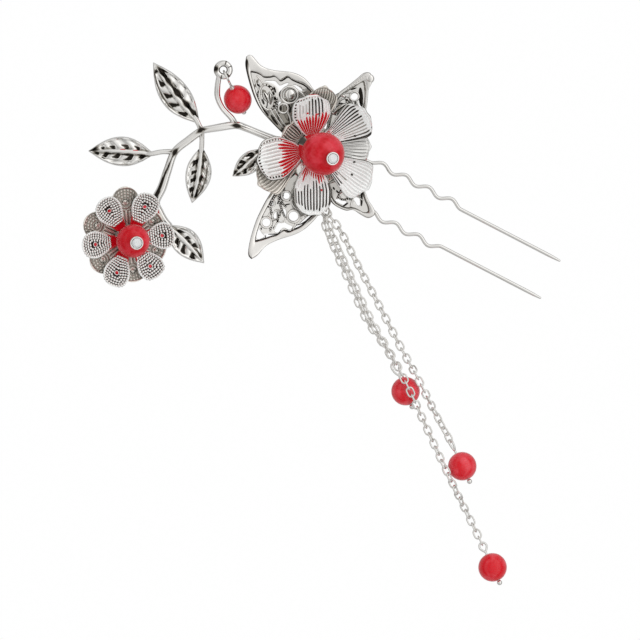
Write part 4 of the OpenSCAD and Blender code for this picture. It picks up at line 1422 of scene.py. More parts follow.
UPPER_LEFT = Wing(
    "upper_left",
    pairs(-4.2, 2.6, -6.8, 4.9, -9.3, 7.4, -11.6, 10, -13, 12.6, -14.2, 16.2, -14.9, 19.4, -14.7, 21.2),
    pairs(-4.6, 3.4, -7, 5.5, -8.8, 7.3, -10.6, 9.5, -12.1, 12.4, -13, 15.2, -13.5, 16.9, -13.6, 17.8),
    pairs(1.6, 11, -0.5, 14.3, -2, 16.3, -3.5, 17.4, -5.3, 18, -7, 18.2, -8.8, 18.4, -10.4, 18.8, -11.7, 19.5,
          -12.7, 20.6, -13.4, 21.4, -14.1, 21.6, -14.7, 21.2),
    pairs(1, 10.2, -1.1, 13.5, -1.9, 14.4, -2.8, 15.1, -4, 15.6, -5.1, 16.1, -5.9, 16.7, -6.7, 16.2, -7.5, 15.9,
          -8.1, 16.5, -8.7, 16.9, -9.6, 16.7, -10.9, 16.7, -11.6, 17.2, -12.5, 17.6, -13.6, 17.8),
    (
        pairs(-10.9, 16.1, -9.6, 16.2, -8.6, 16.1, -7.7, 15.2, -6.6, 15.6, -5.8, 15.7, -6.7, 14.7, -7.6, 13.6, -8, 14.6,
              -9.2, 15.6),
        pairs(-12.6, 15.9, -12, 15.5, -12.2, 14.8, -12.6, 14.6),
        pairs(-8.1, 11.3, -7.6, 11.9, -7.4, 11, -7.8, 10.4),
        pairs(-4.7, 15.4, -3.6, 14.9, -2.9, 14.1, -3.9, 14.4),
        pairs(-11, 10, -10.6, 10.6, -10.3, 10.2, -10.6, 9.6),
    ),
    (
        oval(5.9, -10.3, 12.7, width=3.5, turned=103, wire=0.5), blade(1.3, -11.1, 13.9, -10.1, 11.7),
        blade(1.2, -9.9, 13.9, -9.6, 11.2), circle(1.75, -5.6, 13.2, wire=0.6), dome(1.3, -5.45, 13.25),
        circle(1, -6.9, 10.4, wire=0.5), dome(0.45, -6.7, 11.3), stem(0.5, -9.4, 9.9, -8.4, 8.3, -6.9, 6.3),
        stem(0.42, -8.7, 10.2, -7.7, 8.6, -6.3, 6.5), stem(0.5, -6, 9.6, -5.4, 8.1, -5.3, 6.6),
        stem(0.36, -12.9, 16.4, -12.3, 14.6, -11.5, 13.4), stem(0.4, -12.4, 17.1, -11.6, 16.2, -11.2, 15.6),
        stem(0.5, -4.4, 14.5, -3.1, 13.6, -2.3, 12.6), rope(0.42, -8.3, 12.5, -8.2, 11.4, -8.5, 10),
        rope(0.36, -12.2, 13.4, -11.8, 11.6, -10.6, 10, -9.9, 9.4),
    ),
    (
        (0.35, 1, -12.1, 14.2, -12.3, 13.1, -11.9, 11.8), (0.55, 1, -7.2, 14.3, -7.6, 13.3, -7.2, 12.2),
        (0.5, 1, -7.6, 11.4, -7.5, 10.2, -7.9, 9.3), (0.4, 0.9, -11.6, 10.9, -10.9, 9.9, -10, 8.9),
        (0.5, 1, -6.3, 11.6, -5.7, 10.8, -5.5, 9.6), (0.4, 1, -8.9, 14.9, -8.5, 13.7),
        (0.4, 1, -12.4, 15.6, -11.9, 14.9), (0.5, 0.9, -9.5, 9, -8.9, 8, -8.1, 7),
        (0.35, 0.8, -11.3, 12.3, -10.9, 11.3), (0.22, 0.9, -10.3, 12.8, -10.3, 11.2, -10.6, 9.9),
        (0.9, 0.6, -11.2, 14.2, -10.7, 13.4), (0.36, 1, -8.8, 8.9, -8.7, 8.4),
        (0.24, 0.9, -8.4, 9.4, -7.6, 7.5, -6.6, 5.6), (1.3, 0.6, -6.5, 12.3, -6.4, 10.2, -5.9, 8),
        (0.5, 0.65, -12.2, 16.4, -12.9, 14.9), (0.22, 0.95, -7, 14.4, -5.4, 14.8, -4, 13.6),
        (0.22, 0.9, -7, 10.8, -6.4, 10.2, -6.2, 9.4), (0.3, 1, -9.6, 15.1, -9, 14.4), (0.3, 0.9, -5, 7.6, -4.4, 6.2),
        (0.9, 0.5, -4.2, 11.8, -3.6, 10.2),
    ),
    tone=0.5,
    bright=(16.4, 12.4),
    dark_a=(0.5, 2.2, 0.75, 1),
)
LOWER_LEFT = Wing(
    "lower_left",
    pairs(-5, -2.6, -7.6, -4.8, -9.2, -6.7, -10.5, -8.7, -11.7, -11, -12.8, -13.5, -13.9, -17.2, -14.3, -20.2,
          -13.6, -21.2),
    pairs(-4.2, -3.4, -6.9, -5.6, -8.3, -7.2, -9.5, -9.2, -10.9, -11.6, -11.8, -13.8, -12.5, -16, -12.7, -17.2),
    pairs(2.6, -9.6, 0.5, -11.9, -0.8, -13.4, -2.6, -15, -4.7, -16.1, -8.1, -17.2, -10.6, -18.5, -12.3, -20.4,
          -13.6, -21.2),
    pairs(1.8, -9, -0.5, -11.4, -1.8, -12.6, -3.2, -14, -4.6, -14.7, -5.6, -15.2, -6.8, -14.9, -7.9, -15.8, -9.3, -16.2,
          -10.8, -16.7, -12.7, -17.2),
    (
        pairs(-12.1, -14.9, -11.5, -15.7, -10.9, -16.4, -11.7, -16.9, -12.4, -17, -12.6, -16.4),
        pairs(-7.5, -13.1, -8.4, -14.3, -8.8, -15.4, -8, -15.6, -7, -14.6, -5.7, -15, -5, -14.4, -6.2, -13.8),
        pairs(-3.2, -13.3, -1.9, -12.2, -0.9, -11.9, -1.8, -12.1, -2.6, -12.8),
        pairs(-9.1, -11.1, -8.6, -11, -8.4, -11.9, -8.45, -12.8, -8.8, -12.7, -9.1, -11.9),
        pairs(-6.9, -10.7, -6.5, -10.8, -6.35, -11.4, -6.45, -12.3, -6.8, -12.2, -7, -11.4),
        pairs(-9.6, -9.2, -9.1, -9.3, -9.2, -9.9, -9.7, -9.8),
    ),
    (
        circle(1.1, -10.5, -13.5, wire=0.5, hole=0.85), circle(1.25, -4.8, -12.2, wire=0.55, hole=0.98),
        circle(0.95, -6.3, -7.9, wire=0.5, hole=0.68), oval(2.6, -8.4, -11.9, width=1.8, turned=60, wire=0.4),
        circle(0.7, -9.4, -9.5, wire=0.36), rope(0.44, -7.4, -6.4, -7.9, -8.4, -7.4, -10.4, -6.7, -12.2),
        rope(0.42, -8.6, -7.6, -9.6, -10.2, -9.2, -12.8, -9.7, -15.2), rope(0.4, -6.9, -7, -7.2, -9.2, -6.4, -10.2),
        stem(0.42, -5.2, -9.2, -4.6, -10.3, -3.4, -11), stem(0.4, -9.8, -11.6, -10.2, -12.2, -11.4, -12.6),
        stem(0.4, -6.4, -12.6, -6.9, -13.4, -8.2, -13.6, -8.9, -14.9),
        stem(0.45, -3.5, -12.4, -2.6, -12.1, -1.4, -11.4), stem(0.45, -4.2, -13.6, -4.6, -14.3, -4.9, -14.9),
    ),
    (
        (0.36, 1, -7.7, -5.7, -8, -6.7, -8.4, -7.8), (0.4, 1, -6.6, -6.2, -7.2, -7.5, -7.8, -8.8, -8.2, -9.6),
        (0.32, 1, -7.4, -9.2, -7.5, -10.5), (0.34, 1, -9.8, -9.6, -10.1, -10.4), (0.3, 1, -9.7, -11.4, -9.7, -11.8),
        (0.34, 1, -11, -12.3, -11.6, -13.4), (0.3, 1, -11.6, -14.6, -11.5, -15),
        (0.34, 1, -8.1, -11.3, -8.05, -13, -8.5, -14, -9.1, -14.7), (0.34, 1, -5.5, -10.9, -6, -11.8, -6.05, -12.8),
        (0.26, 0.8, -5.4, -10.8, -4.6, -10.7), (0.28, 1, -6.7, -9.85, -5.5, -9.6), (0.26, 1, -6.5, -8.9, -5.5, -8.9),
        (0.26, 1, -2.2, -12, -1.6, -11.8), (0.24, 1, -10.1, -16, -8.9, -15.95, -8, -15.85, -7.4, -15.1),
        (0.24, 1, -5.2, -15, -4.6, -14.3), (0.26, 1, -4.2, -14.1, -2.8, -13.6, -0.8, -12.1),
        (0.24, 1, -12.5, -17.5, -10.9, -16.9, -10.6, -16.1),
    ),
    tone=0.3,
    line=0.85,
    bright=(15.5, 10),
    dark_a=(0.4, 0.34, 1, 0.9),
)
UPPER_RIGHT = Wing(
    "upper_right",
    pairs(2, 6, 3.2, 11.2, 4.4, 13.4, 6.4, 15, 8.4, 16.6, 9.9, 17.8, 11.1, 17.9, 11.7, 17.2),
    pairs(2.8, 6, 3.9, 10.6, 5, 12.6, 6.6, 13.9, 8.2, 14.9, 9.2, 15.6, 9.7, 15.7, 9.8, 15.2),
    pairs(7.6, 4, 9.6, 7.6, 10.5, 10.4, 10.8, 12.6, 11, 14.4, 11.6, 15.6, 11.8, 16.6, 11.7, 17.2),
    pairs(7, 4.6, 8.9, 8, 9.7, 10.6, 10, 12.4, 10, 13.8, 9.9, 14.5, 9.9, 14.9, 9.8, 15.2),
    (
        pairs(7.2, 12.9, 7.5, 13.4, 8, 13.6, 8.5, 13.4, 8.7, 12.9, 8.5, 12.4, 8, 12.2, 7.4, 12.4),
        pairs(8.9, 12.4, 9.4, 12.6, 9.5, 11.2, 9.1, 10.2, 8.9, 11.4),
    ),
    (
        oval(4.8, 4.6, 11.2, width=3.9, turned=60, wire=0.55), oval(3, 5.6, 11.6, width=1.9, turned=35, wire=0.42),
        blade(1.5, 3.6, 9.3, 6.4, 11.4, lift=0.3), circle(0.95, 7.95, 12.9, wire=0.42), dome(0.95, 11.2, 16.6),
        rope(0.5, 6.6, 14.6, 7.9, 15.5, 9.2, 16.5, 10.3, 17.2, lift=0.3), stem(0.42, 3.6, 12.6, 5.2, 13.4, 7, 13.7),
        stem(0.45, 7.6, 11.8, 7.9, 10.4, 7.4, 8.6),
    ),
    (
        (0.95, 1, 9.2, 14.6, 9.3, 12.9, 9.4, 11), (0.26, 1, 2.9, 11.9, 3.8, 13, 5.2, 13.75, 6.4, 13.7),
        (0.4, 1, 3.2, 11.6, 3.2, 10.2), (0.4, 1, 6.6, 12.8, 6.2, 12.1), (0.26, 0.95, 4.2, 11.3, 5.1, 11.5, 6, 11.2),
        (0.9, 0.7, 4.3, 10.8, 5, 10), (0.2, 0.9, 6.9, 12.3, 7.6, 11.9, 8.4, 12), (0.3, 0.9, 7.2, 14.3, 8.4, 14.7),
    ),
    tone=0.25,
    line=0.6,
    bright=(12.5, 9),
)
LOWER_RIGHT = Wing(
    "lower_right",
    pairs(2, -5.6, 2.8, -8.6, 3.8, -9.9, 6.1, -11, 7.7, -10.9, 9.3, -11.9, 10.8, -12.6, 12, -12.1, 12.4, -11.4),
    pairs(2.8, -5.6, 3.6, -8.2, 4.4, -9.3, 6.2, -10.2, 7.5, -10.2, 8.6, -10.6, 9.6, -11.2, 10.4, -11.3, 10.7, -11),
    pairs(7.8, -3.4, 9.6, -5.4, 10.3, -7.2, 11, -8.9, 11.9, -10.3, 12.4, -11.4),
    pairs(7.2, -4, 8.8, -5.9, 9.5, -7.5, 10, -8.9, 10.5, -10, 10.7, -11),
    (
        pairs(3.9, -8.9, 4.4, -8.6, 5.3, -8.8, 6.3, -9.2, 5.9, -9.8, 5.3, -9.7, 4.4, -9.2),
        pairs(7.8, -8.5, 8.9, -8.1, 9.1, -9, 9.1, -9.9, 8.6, -9.9, 8.1, -9.3),
        pairs(8.9, -6.9, 9.2, -7.6, 8.6, -7.4),
    ),
    (
        oval(2.8, 6, -7.9, width=2, turned=20, wire=0.45), stem(0.42, 7.2, -10.1, 7.4, -9.2, 7.8, -8, 7.4, -6.6),
        stem(0.36, 7.8, -8, 8.6, -8.1, 9.8, -8.9), rope(0.4, 4.4, -8.4, 5, -7, 5.8, -5.8),
    ),
    (
        (0.4, 1, 5.6, -10.1, 6.6, -9.4), (0.36, 1, 7, -8, 7, -8.8), (0.46, 1, 9.45, -7.1, 9.5, -8.5, 9.45, -10),
        (0.4, 1, 3.5, -6.1, 3.8, -6.6), (0.4, 1, 4.2, -6.8, 4.6, -7.3), (0.6, 0.6, 5.2, -6, 5.8, -7),
        (0.22, 0.9, 4.6, -8.3, 5.6, -8.6, 6.6, -8.6),
    ),
    tone=0.3,
    line=0.7,
    bright=(10.5, 8),
)


@dataclass
class Butterfly:
    """Pierced casting of four bowl-shaped wings behind the flowers."""

    plate_z: float = 1.9
    plate: float = 0.7
    border: float = 0.5
    bowl: float = 110.0
    middle: float = 5.2
    post_hole: float = 1.55
    eye: Pair = ChainSet.eye
    eye_hole: float = 0.8
    eye_rim: float = 0.8
    cell: float = 0.7
    grain: float = 0.42

    def rise(self, x: Array, y: Array) -> Array:
        """Height of the bowl at a place, over its lowest point."""
        return self.bowl - np.sqrt(self.bowl ** 2 - x * x - y * y)

    def laid(self, points: Array) -> Array:
        """Points raised on to the bowl and turned with the ornament.

        Args:
            points: points over a flat plate.

        Returns:
            The points on the wings.
        """
        out = points.copy()
        out[:, 2] += self.plate_z + self.rise(points[:, 0], points[:, 1])
        return moved(out, ORNAMENT)

    def fill(self, name: str, outline: Array, holes: Sequence[Array], thick: float, bevel: float) -> Shell:
        """Flat plate with holes and softened edges, cut into cells so that it can be bent.

        Args:
            name: name of the working curve.
            outline: its edge, in order.
            holes: edges of its openings.
            thick: its thickness, from z = 0 up.
            bevel: rounding of its edges.

        Returns:
            The closed plate.
        """
        data = bpy.data.curves.new(name, "CURVE")
        data.dimensions, data.fill_mode = "2D", "BOTH"
        data.extrude, data.bevel_depth, data.bevel_resolution, data.offset = thick / 2 - bevel, bevel, 1, -bevel
        for edge in (outline, *holes):
            strip = data.splines.new("POLY")
            strip.points.add(len(edge) - 1)
            places = np.column_stack([edge[:, :2], np.zeros(len(edge)), np.ones(len(edge))])
            strip.points.foreach_set("co", places.ravel())
            strip.use_cyclic_u = True
        holder = linked(name, data)
        mesh = evaluated(holder)
        work = bmesh.new()
        work.from_mesh(mesh)
        bmesh.ops.remove_doubles(work, verts=work.verts, dist=1e-4)
        low, high = outline.min(axis=0), outline.max(axis=0)
        for axis, way in enumerate((Vector((1, 0, 0)), Vector((0, 1, 0)))):
            for at in np.arange(low[axis] + self.cell, high[axis], self.cell):
                bmesh.ops.bisect_plane(work, geom=[*work.verts, *work.edges, *work.faces], dist=1e-5,
                                       plane_co=way * float(at), plane_no=way)
        points = np.array([v.co[:] for v in work.verts])
        faces = [tuple(v.index for v in f.verts) for f in work.faces]
        work.free()
        bpy.data.objects.remove(holder)
        bpy.data.meshes.remove(mesh)
        points[:, 2] += thick / 2
        return Shell(points, faces)

    def band(self, outer: Array, inner: Array, dark: tuple[float, float, float, float], line: float) -> Shell:
        """Polished band between two edges, with painted shade in the groove along its inner one and at its outer edge.

        Args:
            outer: points of its outer edge.
            inner: as many points of its inner edge.
            dark: width of the painted shade along the outer edge at the root and at the tip, and its strength there.
            line: darkness of the painted shade in the groove.

        Returns:
            The closed band.
        """
        count, top = len(outer), self.plate + self.border
        wide = np.maximum(np.linalg.norm(inner[:, :2] - outer[:, :2], axis=1), 0.05)[:, None]
        crown = np.maximum(1 - 0.42 / wide, 0.4)
        share_of = np.array([0, 0, 0.03, 0.12, 0.3, 0.55, 0.8, 0.94, 1.0])[None, :] * crown
        groove = [np.maximum(1 - 0.34 / wide, 0.45), np.maximum(1 - 0.12 / wide, 0.8), 0 * crown + 1]
        across = np.concatenate([share_of, *groove], axis=1)
        height = np.array([0.1, 0.62, 0.8, 0.93, 0.99, 1.0, 0.98, 0.93, 0.84, 0.63, 0.62, 0.2]) * top
        points = outer[:, None, :2] + (inner - outer)[:, None, :2] * across[:, :, None]
        solid = np.concatenate([points, np.broadcast_to(height[None, :, None], (count, 12, 1))], axis=2)
        t = np.linspace(0, 1, count)[:, None]
        reach = dark[0] + (dark[1] - dark[0]) * t ** 2
        edge = (dark[2] + (dark[3] - dark[2]) * t) * ramp(across * wide, reach, reach * 0.35)
        shade = np.maximum(edge, line * np.array([0] * 9 + [1, 1, 0.6])[None, :])
        return Shell(solid.reshape(-1, 3), rod_faces(count, 12), {"shade": shade.ravel()})

    def mark(self, relief: Relief) -> Shell:
        """Mesh of one raised detail, flat on the plate.

        Args:
            relief: the detail, of any kind but a rope.

        Returns:
            The closed mesh.
        """
        z = self.plate + relief.lift
        first, last = relief.points[0], relief.points[-1]
        if relief.kind is Mark.RING:
            return ring(relief.size, relief.wire, 36, 10).carried(shift(*first, z + 0.1))
        if relief.kind is Mark.OVAL:
            a = angles(44)
            path = xyz(relief.size / 2 * np.cos(a), relief.width / 2 * np.sin(a))
            hoop = tube(path - unit(path) * relief.wire / 2, relief.wire / 2, 10, closed=True)
            # Painted shade in dashes round the hoop, most on one side.
            hoop.values = {"shade": np.repeat(0.95 * ramp(np.sin(17 * a) - np.sin(a), 0.3, 0.7), 10)}
            return hoop.carried(shift(*first, z + 0.12) @ turn("Z", relief.turned))
        if relief.kind is Mark.DOME:
            rim = arc(relief.size, relief.size * 0.72, 9, 0, math.pi / 2)
            return lathe([*rim, (relief.size, -0.2), (0, -0.2)], 28).carried(shift(*first, z))
        if relief.kind is Mark.STEM:
            path = self.vein(relief, 0.05)
            return tube(path, relief.size / 2 * np.linspace(1.0, 0.7, len(path)), 10)
        way = np.subtract(last, first)
        side = np.array([-way[1], way[0]]) / np.linalg.norm(way)
        v, u = grid(15, 11)
        wide = relief.size / 2 * np.sin(math.pi * np.clip(v, 0.02, 0.98)) ** 0.7
        flat = np.array(first) + way * v[..., None] + side * (wide * u)[..., None]
        height = z + 0.3 * (1 - u * u) * np.sin(math.pi * v) ** 0.5 - 0.16 * np.exp(-(u / 0.14) ** 2) + 0.12
        # Painted shade along the crease and the edges of the raised leaf.
        shade = np.maximum(np.exp(-(u / 0.24) ** 2), ramp(np.abs(u), 0.62, 0.9))
        return slab(np.dstack([flat, height]), np.dstack([flat, 0 * v + z - 0.2]), {"shade": shade})

    def vein(self, relief: Relief, raised: float) -> Array:
        """Curve through a detail's places, raised over the plate.

        Args:
            relief: the detail.
            raised: height over the plate.

        Returns:
            The curve's points.
        """
        path = spline([(*p, 0.0) for p in relief.points], 8)
        path[:, 2] = self.plate + raised + relief.lift
        return path

    def rope_places(self, relief: Relief) -> list[Array]:
        """Matrices of the beads of a rope vein.

        Args:
            relief: the vein.

        Returns:
            One matrix for each bead.
        """
        path = self.vein(relief, 0.12)
        path = resampled(path, max(3, round(runs(path)[-1] / (relief.size * 1.05))))
        lifted = self.laid(path)
        way = np.gradient(lifted, axis=0)
        return [shift(*p) @ turn("Z", math.degrees(math.atan2(w[1], w[0])) + 38) for p, w in zip(lifted, way)]

    def dress(self, repeater: Repeater) -> None:
        """Make the four wings, their bands and relief, and the middle with its eye.

        Args:
            repeater: the tree that sets the beads of the ropes on points.
        """
        shells, places, sizes = [], [], []
        for wing in (UPPER_LEFT, LOWER_LEFT, UPPER_RIGHT, LOWER_RIGHT):
            outer_a, inner_a = (spline(p, 6) for p in (wing.outer_a, wing.inner_a))
            outer_b, inner_b = (spline(p, 6) for p in (wing.outer_b, wing.inner_b))
            outline = np.concatenate([outer_a[:-1], outer_b[::-1]]) * 0.995
            holes = [spline(h, 3, closed=True) for h in wing.openings]
            holes += [circle_of(24) * r.hole + r.points[0] for r in wing.relief if r.hole]
            plate = self.fill(wing.name, outline, holes, self.plate, 0.12)
            # Painted shade on the plate, darkest near the middle under the flowers.
            plate.values = {"shade": wing.tone * ramp(np.linalg.norm(plate.points[:, :2], axis=1), *wing.bright)}
            shells.append(plate.bent(self.laid))
            for outer, inner, dark in ((outer_a, inner_a, wing.dark_a), (outer_b, inner_b, wing.dark_b)):
                shells.append(self.band(resampled(outer, 80), resampled(inner, 80), dark, wing.line).bent(self.laid))
            # Runs of painted shade on the plate.
            for width, dark, *way in wing.shade_runs:
                run = [(x, y, self.plate + 0.07) for x, y in pairs(*way)]
                shells.append(shade_strip(run, width, dark).bent(self.laid))
            for relief in wing.relief:
                if relief.kind is Mark.ROPE:
                    # Dark strip under the beads: painted shade between them.
                    bed = tube(self.vein(relief, 0.0), relief.size * 0.55, 8, flat=0.25)
                    shells.append(bed.toned(1.0).bent(self.laid))
                    spots = self.rope_places(relief)
                    places += spots
                    sizes += [relief.size / self.grain] * len(spots)
                else:
                    shells.append(self.mark(relief).bent(self.laid))
        edge, back = circle_of(64), turn("Z", -LAY_TURN)[:2, :2]
        post, eye = back @ np.array([STACK.bend_x, STACK.stack_y]), back @ np.array(self.eye)
        for name, at, radius, hole, bevel in (
                ("middle", 0 * post, self.middle, edge[::2] * self.post_hole / 2 + post, 0.12),
                ("eye", eye, self.eye_hole + self.eye_rim, edge[::2] * self.eye_hole + eye, 0.15)):
            shells.append(self.fill(name, edge * radius + at, [hole], self.plate, bevel).bent(self.laid))
        plates = piece_of("butterfly_plates", joined(shells), Finish.FILIGREE, 42)
        grain = lathe(arc(self.grain / 2, self.grain / 2, 9), 10)
        grain.points = grain.points * [1.35, 0.62, 0.85]
        ropes = repeater.spread("butterfly_ropes", grain, places, Finish.FILIGREE, sizes)
        dressed(merged("pierced_butterfly", [plates, ropes]), "cast_silver", "butterfly")


# ---- branch


@dataclass(frozen=True)
class Leaf:
    """A cast leaf: base, tip, greatest width, heights at base and tip, sideways bend and number of side veins.

    Fields:
        line: darkness of the painted shade beside the midrib, on its right and on its left side.
        wedge: darkness of the painted shade in the pockets between the veins, on either side.
        pool: share of the width that the pockets reach, on either side.
        shadow: darkness of the painted shadow on the tip's right side.
        border: darkness of the painted shade line around the left pockets.
        red: part of the midrib that has traces of red, as shares of the length.
    """

    base: Pair
    tip: Pair
    width: float
    base_z: float
    tip_z: float
    bend: float = 0.0
    veins: int = 6
    line: Pair = (1.0, 0.4)
    wedge: Pair = (0.4, 1.0)
    pool: Pair = (0.5, 0.85)
    shadow: float = 0.0
    border: float = 0.4
    red: Pair = (0.0, 0.0)
    seed: int = 1


LEAVES = (
    Leaf((-25, 7.7), (-34.2, 20), 6.4, 3.0, 3.6, 0.7, 5, (1.7, 0.35), (0.55, 1.0), (0.55, 0.8), border=1.0, seed=3),
    Leaf((-34.6, 0.9), (-47.8, 1.5), 6.4, 2.7, 2.0, -0.4, 5, (0.5, 0.9), (0.9, 1.0), (0.55, 0.7), 1.0, red=(0.12, 0.6),
         seed=5),
    Leaf((-24.1, 2), (-26.1, -9.4), 5.6, 2.5, 1.4, 0.5, 5, (0.9, 1.0), (1.0, 0.4), (0.75, 0.66), border=1.0, seed=8),
    Leaf((-31.1, -14.3), (-23.6, -22), 5.8, 1.7, 1.2, 0.5, 4, (0.3, 0.8), (1.0, 0.8), (0.88, 0.6), seed=9),
    Leaf((-11.2, 1.7), (-17.6, -3.8), 4.6, 1.4, 2.6, 0.3, 4, (0.9, 0.8), (0.9, 0.7), (0.8, 0.6), 0.9, seed=12),
)


@dataclass
class Branch:
    """Cast branch: ridged stems, veined leaves, a rolled twig end and the foot of the small flower."""

    stem: float = 1.6
    twig: float = 1.2
    leaf_thickness: float = 0.6
    rib: float = 0.35
    curl: float = 4.0
    curl_wire: float = 1.3
    curl_at: Triple = (-19.5, 18.4, 7.0)
    eye_z: float = 1.0
    eye_thickness: float = 0.8
    outline: Pairs = (
        (0, 0.16), (0.06, 0.34), (0.15, 0.6), (0.3, 0.9), (0.44, 1), (0.58, 0.95), (0.72, 0.76), (0.85, 0.46),
        (0.94, 0.2), (1, 0.03))
    routes: tuple[tuple[float, float, Triples], ...] = (
        (1.6, 1.6, ((-7.6, 3.5, 1.1), (-11, 4.8, 1.4), (-14.5, 6.2, 1.9), (-16.9, 6.9, 2.8), (-20.5, 6.4, 3.3),
                    (-24.1, 5.8, 3.3))),
        (1.6, 2.1, ((-24.1, 5.8, 3.3), (-26.8, 3.8, 3.2), (-29.7, 1.3, 3), (-31.2, -2.6, 2.8), (-32.4, -6.2, 2.6),
                     (-33.8, -9.2, 2.4), (-33, -11.4, 2.2), (-32, -13.2, 2), (-31.1, -14.3, 1.9))),
        (1.25, 1.2, ((-16.9, 6.9, 2.8), (-17.8, 8.4, 3.3), (-19.7, 10.5, 4.2), (-20.7, 12.8, 5.3), (-20.7, 15, 6.4),
                     (-20.4, 17, 7))),
        (1.25, 1.2, ((-33.8, -9.2, 2.4), (-36, -12.5, 1.8), (-39.6, -16.8, 1.1))),
        (1.2, 1.1, ((-24.1, 5.8, 3.3), (-25, 7.7, 3.2), (-25.6, 8.6, 3.2))),
        (1.2, 1.0, ((-24.1, 5.8, 3.3), (-24, 4, 3), (-24.1, 2, 2.7), (-24.2, 1.2, 2.6))),
        (1.2, 1.0, ((-29.7, 1.3, 3), (-32.4, 1.3, 3), (-34.6, 0.9, 2.9), (-35.6, 0.9, 2.8))),
        (1.2, 1.0, ((-7.6, 3.5, 1.1), (-9.2, 2.3, 1.3), (-11.2, 1.7, 1.4))),
    )
    forks: Pairs = ((-24.1, 5.8), (-16.9, 6.9), (-29.7, 1.3), (-33.8, -9.2), (-7.6, 3.5))

    @staticmethod
    def creased(angle: Array) -> Array:
        """Section of a stem: round below, with a crease along its top between two soft ridges.

        Args:
            angle: angles round the section, in radians.

        Returns:
            The factor on its radius at each angle.
        """
        dip = np.exp(-((np.degrees(angle) - 90) / 17) ** 2)
        shoulder = np.exp(-((np.abs(np.degrees(angle) - 90) - 38) / 20) ** 2)
        return 0.98 - 0.16 * dip + 0.03 * shoulder

    def stems(self) -> list[Shell]:
        """All stems and twigs, with painted shade along their creases, darkest where they fork, and a patch of red
        enamel.
        """
        out = []
        for first, last, route in self.routes:
            path = resampled(spline(route, 8), 12 * len(route))
            swell = 1 + 0.05 * np.sin(np.linspace(0, 3 * math.pi, len(path)) + first)
            radius = np.linspace(first, last, len(path)) / 2 * swell
            sides = 28
            shell = tube(path, radius, sides, section=self.creased)
            rings = shell.points.reshape(-1, sides, 3)
            t = np.linspace(0, 1, len(rings))[:, None]
            angle = np.arange(sides)[None, :] * 360 / sides
            middle = rings.mean(axis=1)
            fork_shade = max_of(np.exp(-np.linalg.norm(middle[:, :2] - at, axis=1) ** 2) for at in self.forks)
            near = fork_shade[:, None]
            # Painted shade: a dark line along the crease, wider and darker near the forks, and one along a flank.
            line = np.exp(-((angle - 90 - 10 * np.sin(t * 7 + first)) / (6 + 34 * near)) ** 2) * (0.25 + 1.0 * near)
            flank = np.exp(-((angle - 160) / 9) ** 2) * ramp(np.sin(t * 9 + 5 * last), 0.2, 0.8)
            above = (rings[..., 2] > middle[:, None, 2]).ravel()
            # A run of painted shade on top of one stem, and a patch of red enamel on another.
            black, red = (above * self.stroke(shell.points, way, *widths) for way, widths in (
                (((-30.1, 0.5), (-30.8, -1.2), (-32.1, -4.2), (-33.1, -6.9), (-34.1, -8.9)), (0.3, 1.0)),
                (((-33.4, -9.9), (-33.3, -11), (-33.0, -12.4)), (0.7, 0.6))))
            shell.values = {"shade": max_of([np.minimum(np.maximum(line, flank), 1).ravel(), black]), "enamel": red}
            out.append(shell)
        return out

    @staticmethod
    def stroke(points: Array, way: Sequence[Pair], first: float, last: float) -> Array:
        """How far points lie within a painted stroke, seen from above.

        Args:
            points: the points.
            way: places that the stroke passes.
            first: its width at its start.
            last: its width at its end.

        Returns:
            One inside the stroke, nought outside, and between them at its edge.
        """
        path = resampled(np.array(way), 60)
        gap = np.linalg.norm(points[:, None, :2] - path[None], axis=2)
        width = np.interp(gap.argmin(axis=1), (0, 59), (first, last))
        return ramp(gap.min(axis=1), width / 2, width / 2 - 0.12)

    def leaf(self, leaf: Leaf) -> Shell:
        """One leaf: raised rim and midrib, slanting side veins and deep pockets between them.

        Args:
            leaf: the leaf.

        Returns:
            The closed mesh.
        """
        v, u = grid(72, 49)
        base, tip = np.array(leaf.base), np.array(leaf.tip)
        way = tip - base
        length = np.linalg.norm(way)
        side = np.array([-way[1], way[0]]) / length
        half = leaf.width / 2 * share(self.outline, v)
        sway = leaf.bend * np.sin(math.pi * v)
        flat = base + way * v[..., None] + side * (half * u * 0.97 + sway * 0.6)[..., None]
        edge = (1 - np.abs(u)) * half
        out = np.abs(u) * half
        side_of = (u > 0).astype(int)
        line, wedge, pool = (np.array(x)[side_of] for x in (leaf.line, leaf.wedge, leaf.pool))
        rng = np.random.default_rng(leaf.seed)
        spine = 0.1 + 0.46 * np.sin(math.pi * np.clip(v * 0.8 + 0.2, 0, 1)) ** 0.8
        rim = ramp(edge, 0.8, 0.4) * ramp(edge, 0, 0.3)
        mid = ramp(out, spine + 0.1, spine - 0.2)
        slant = (v * 1.1 - 0.85 * out / length) * leaf.veins + np.where(u > 0, 0.4, 0)
        slant = slant + 0.15 * np.sin(v * 9 + leaf.seed)
        near = np.clip(slant.round().astype(int), 0, leaf.veins + 2)
        own = rng.choice([0.8, 1.0, 1.0], (2, leaf.veins + 3))[side_of, near] * wedge
        reach = (rng.uniform(0.75, 1.0, (2, leaf.veins + 3))[side_of, near] * pool) * half
        between = np.abs(slant - slant.round()) * 2
        swell = 0.27 + 0.44 * ramp(out, spine, reach)
        pocket = (ramp(between, swell, swell - 0.2) * ramp(out, spine - 0.02, spine + 0.16)
                  * ramp(out, reach, reach - 0.28) * ramp(edge, 0.22, 0.4) * ramp(v, 0.95, 0.86) * ramp(v, 0.06, 0.14))
        swing = 0.12 + 0.15 * np.sin(v * 17 + leaf.seed) ** 2
        beside = np.exp(-((out - spine - 0.14) / (swing * (0.5 + line))) ** 2)
        beside = beside * (0.85 + 0.35 * np.sin(v * 23 + leaf.seed))
        border = 0.8 * leaf.border * (u > 0) * np.exp(-((out - pool * half * 0.94) / 0.2) ** 2) * ramp(v, 0.2, 0.35)
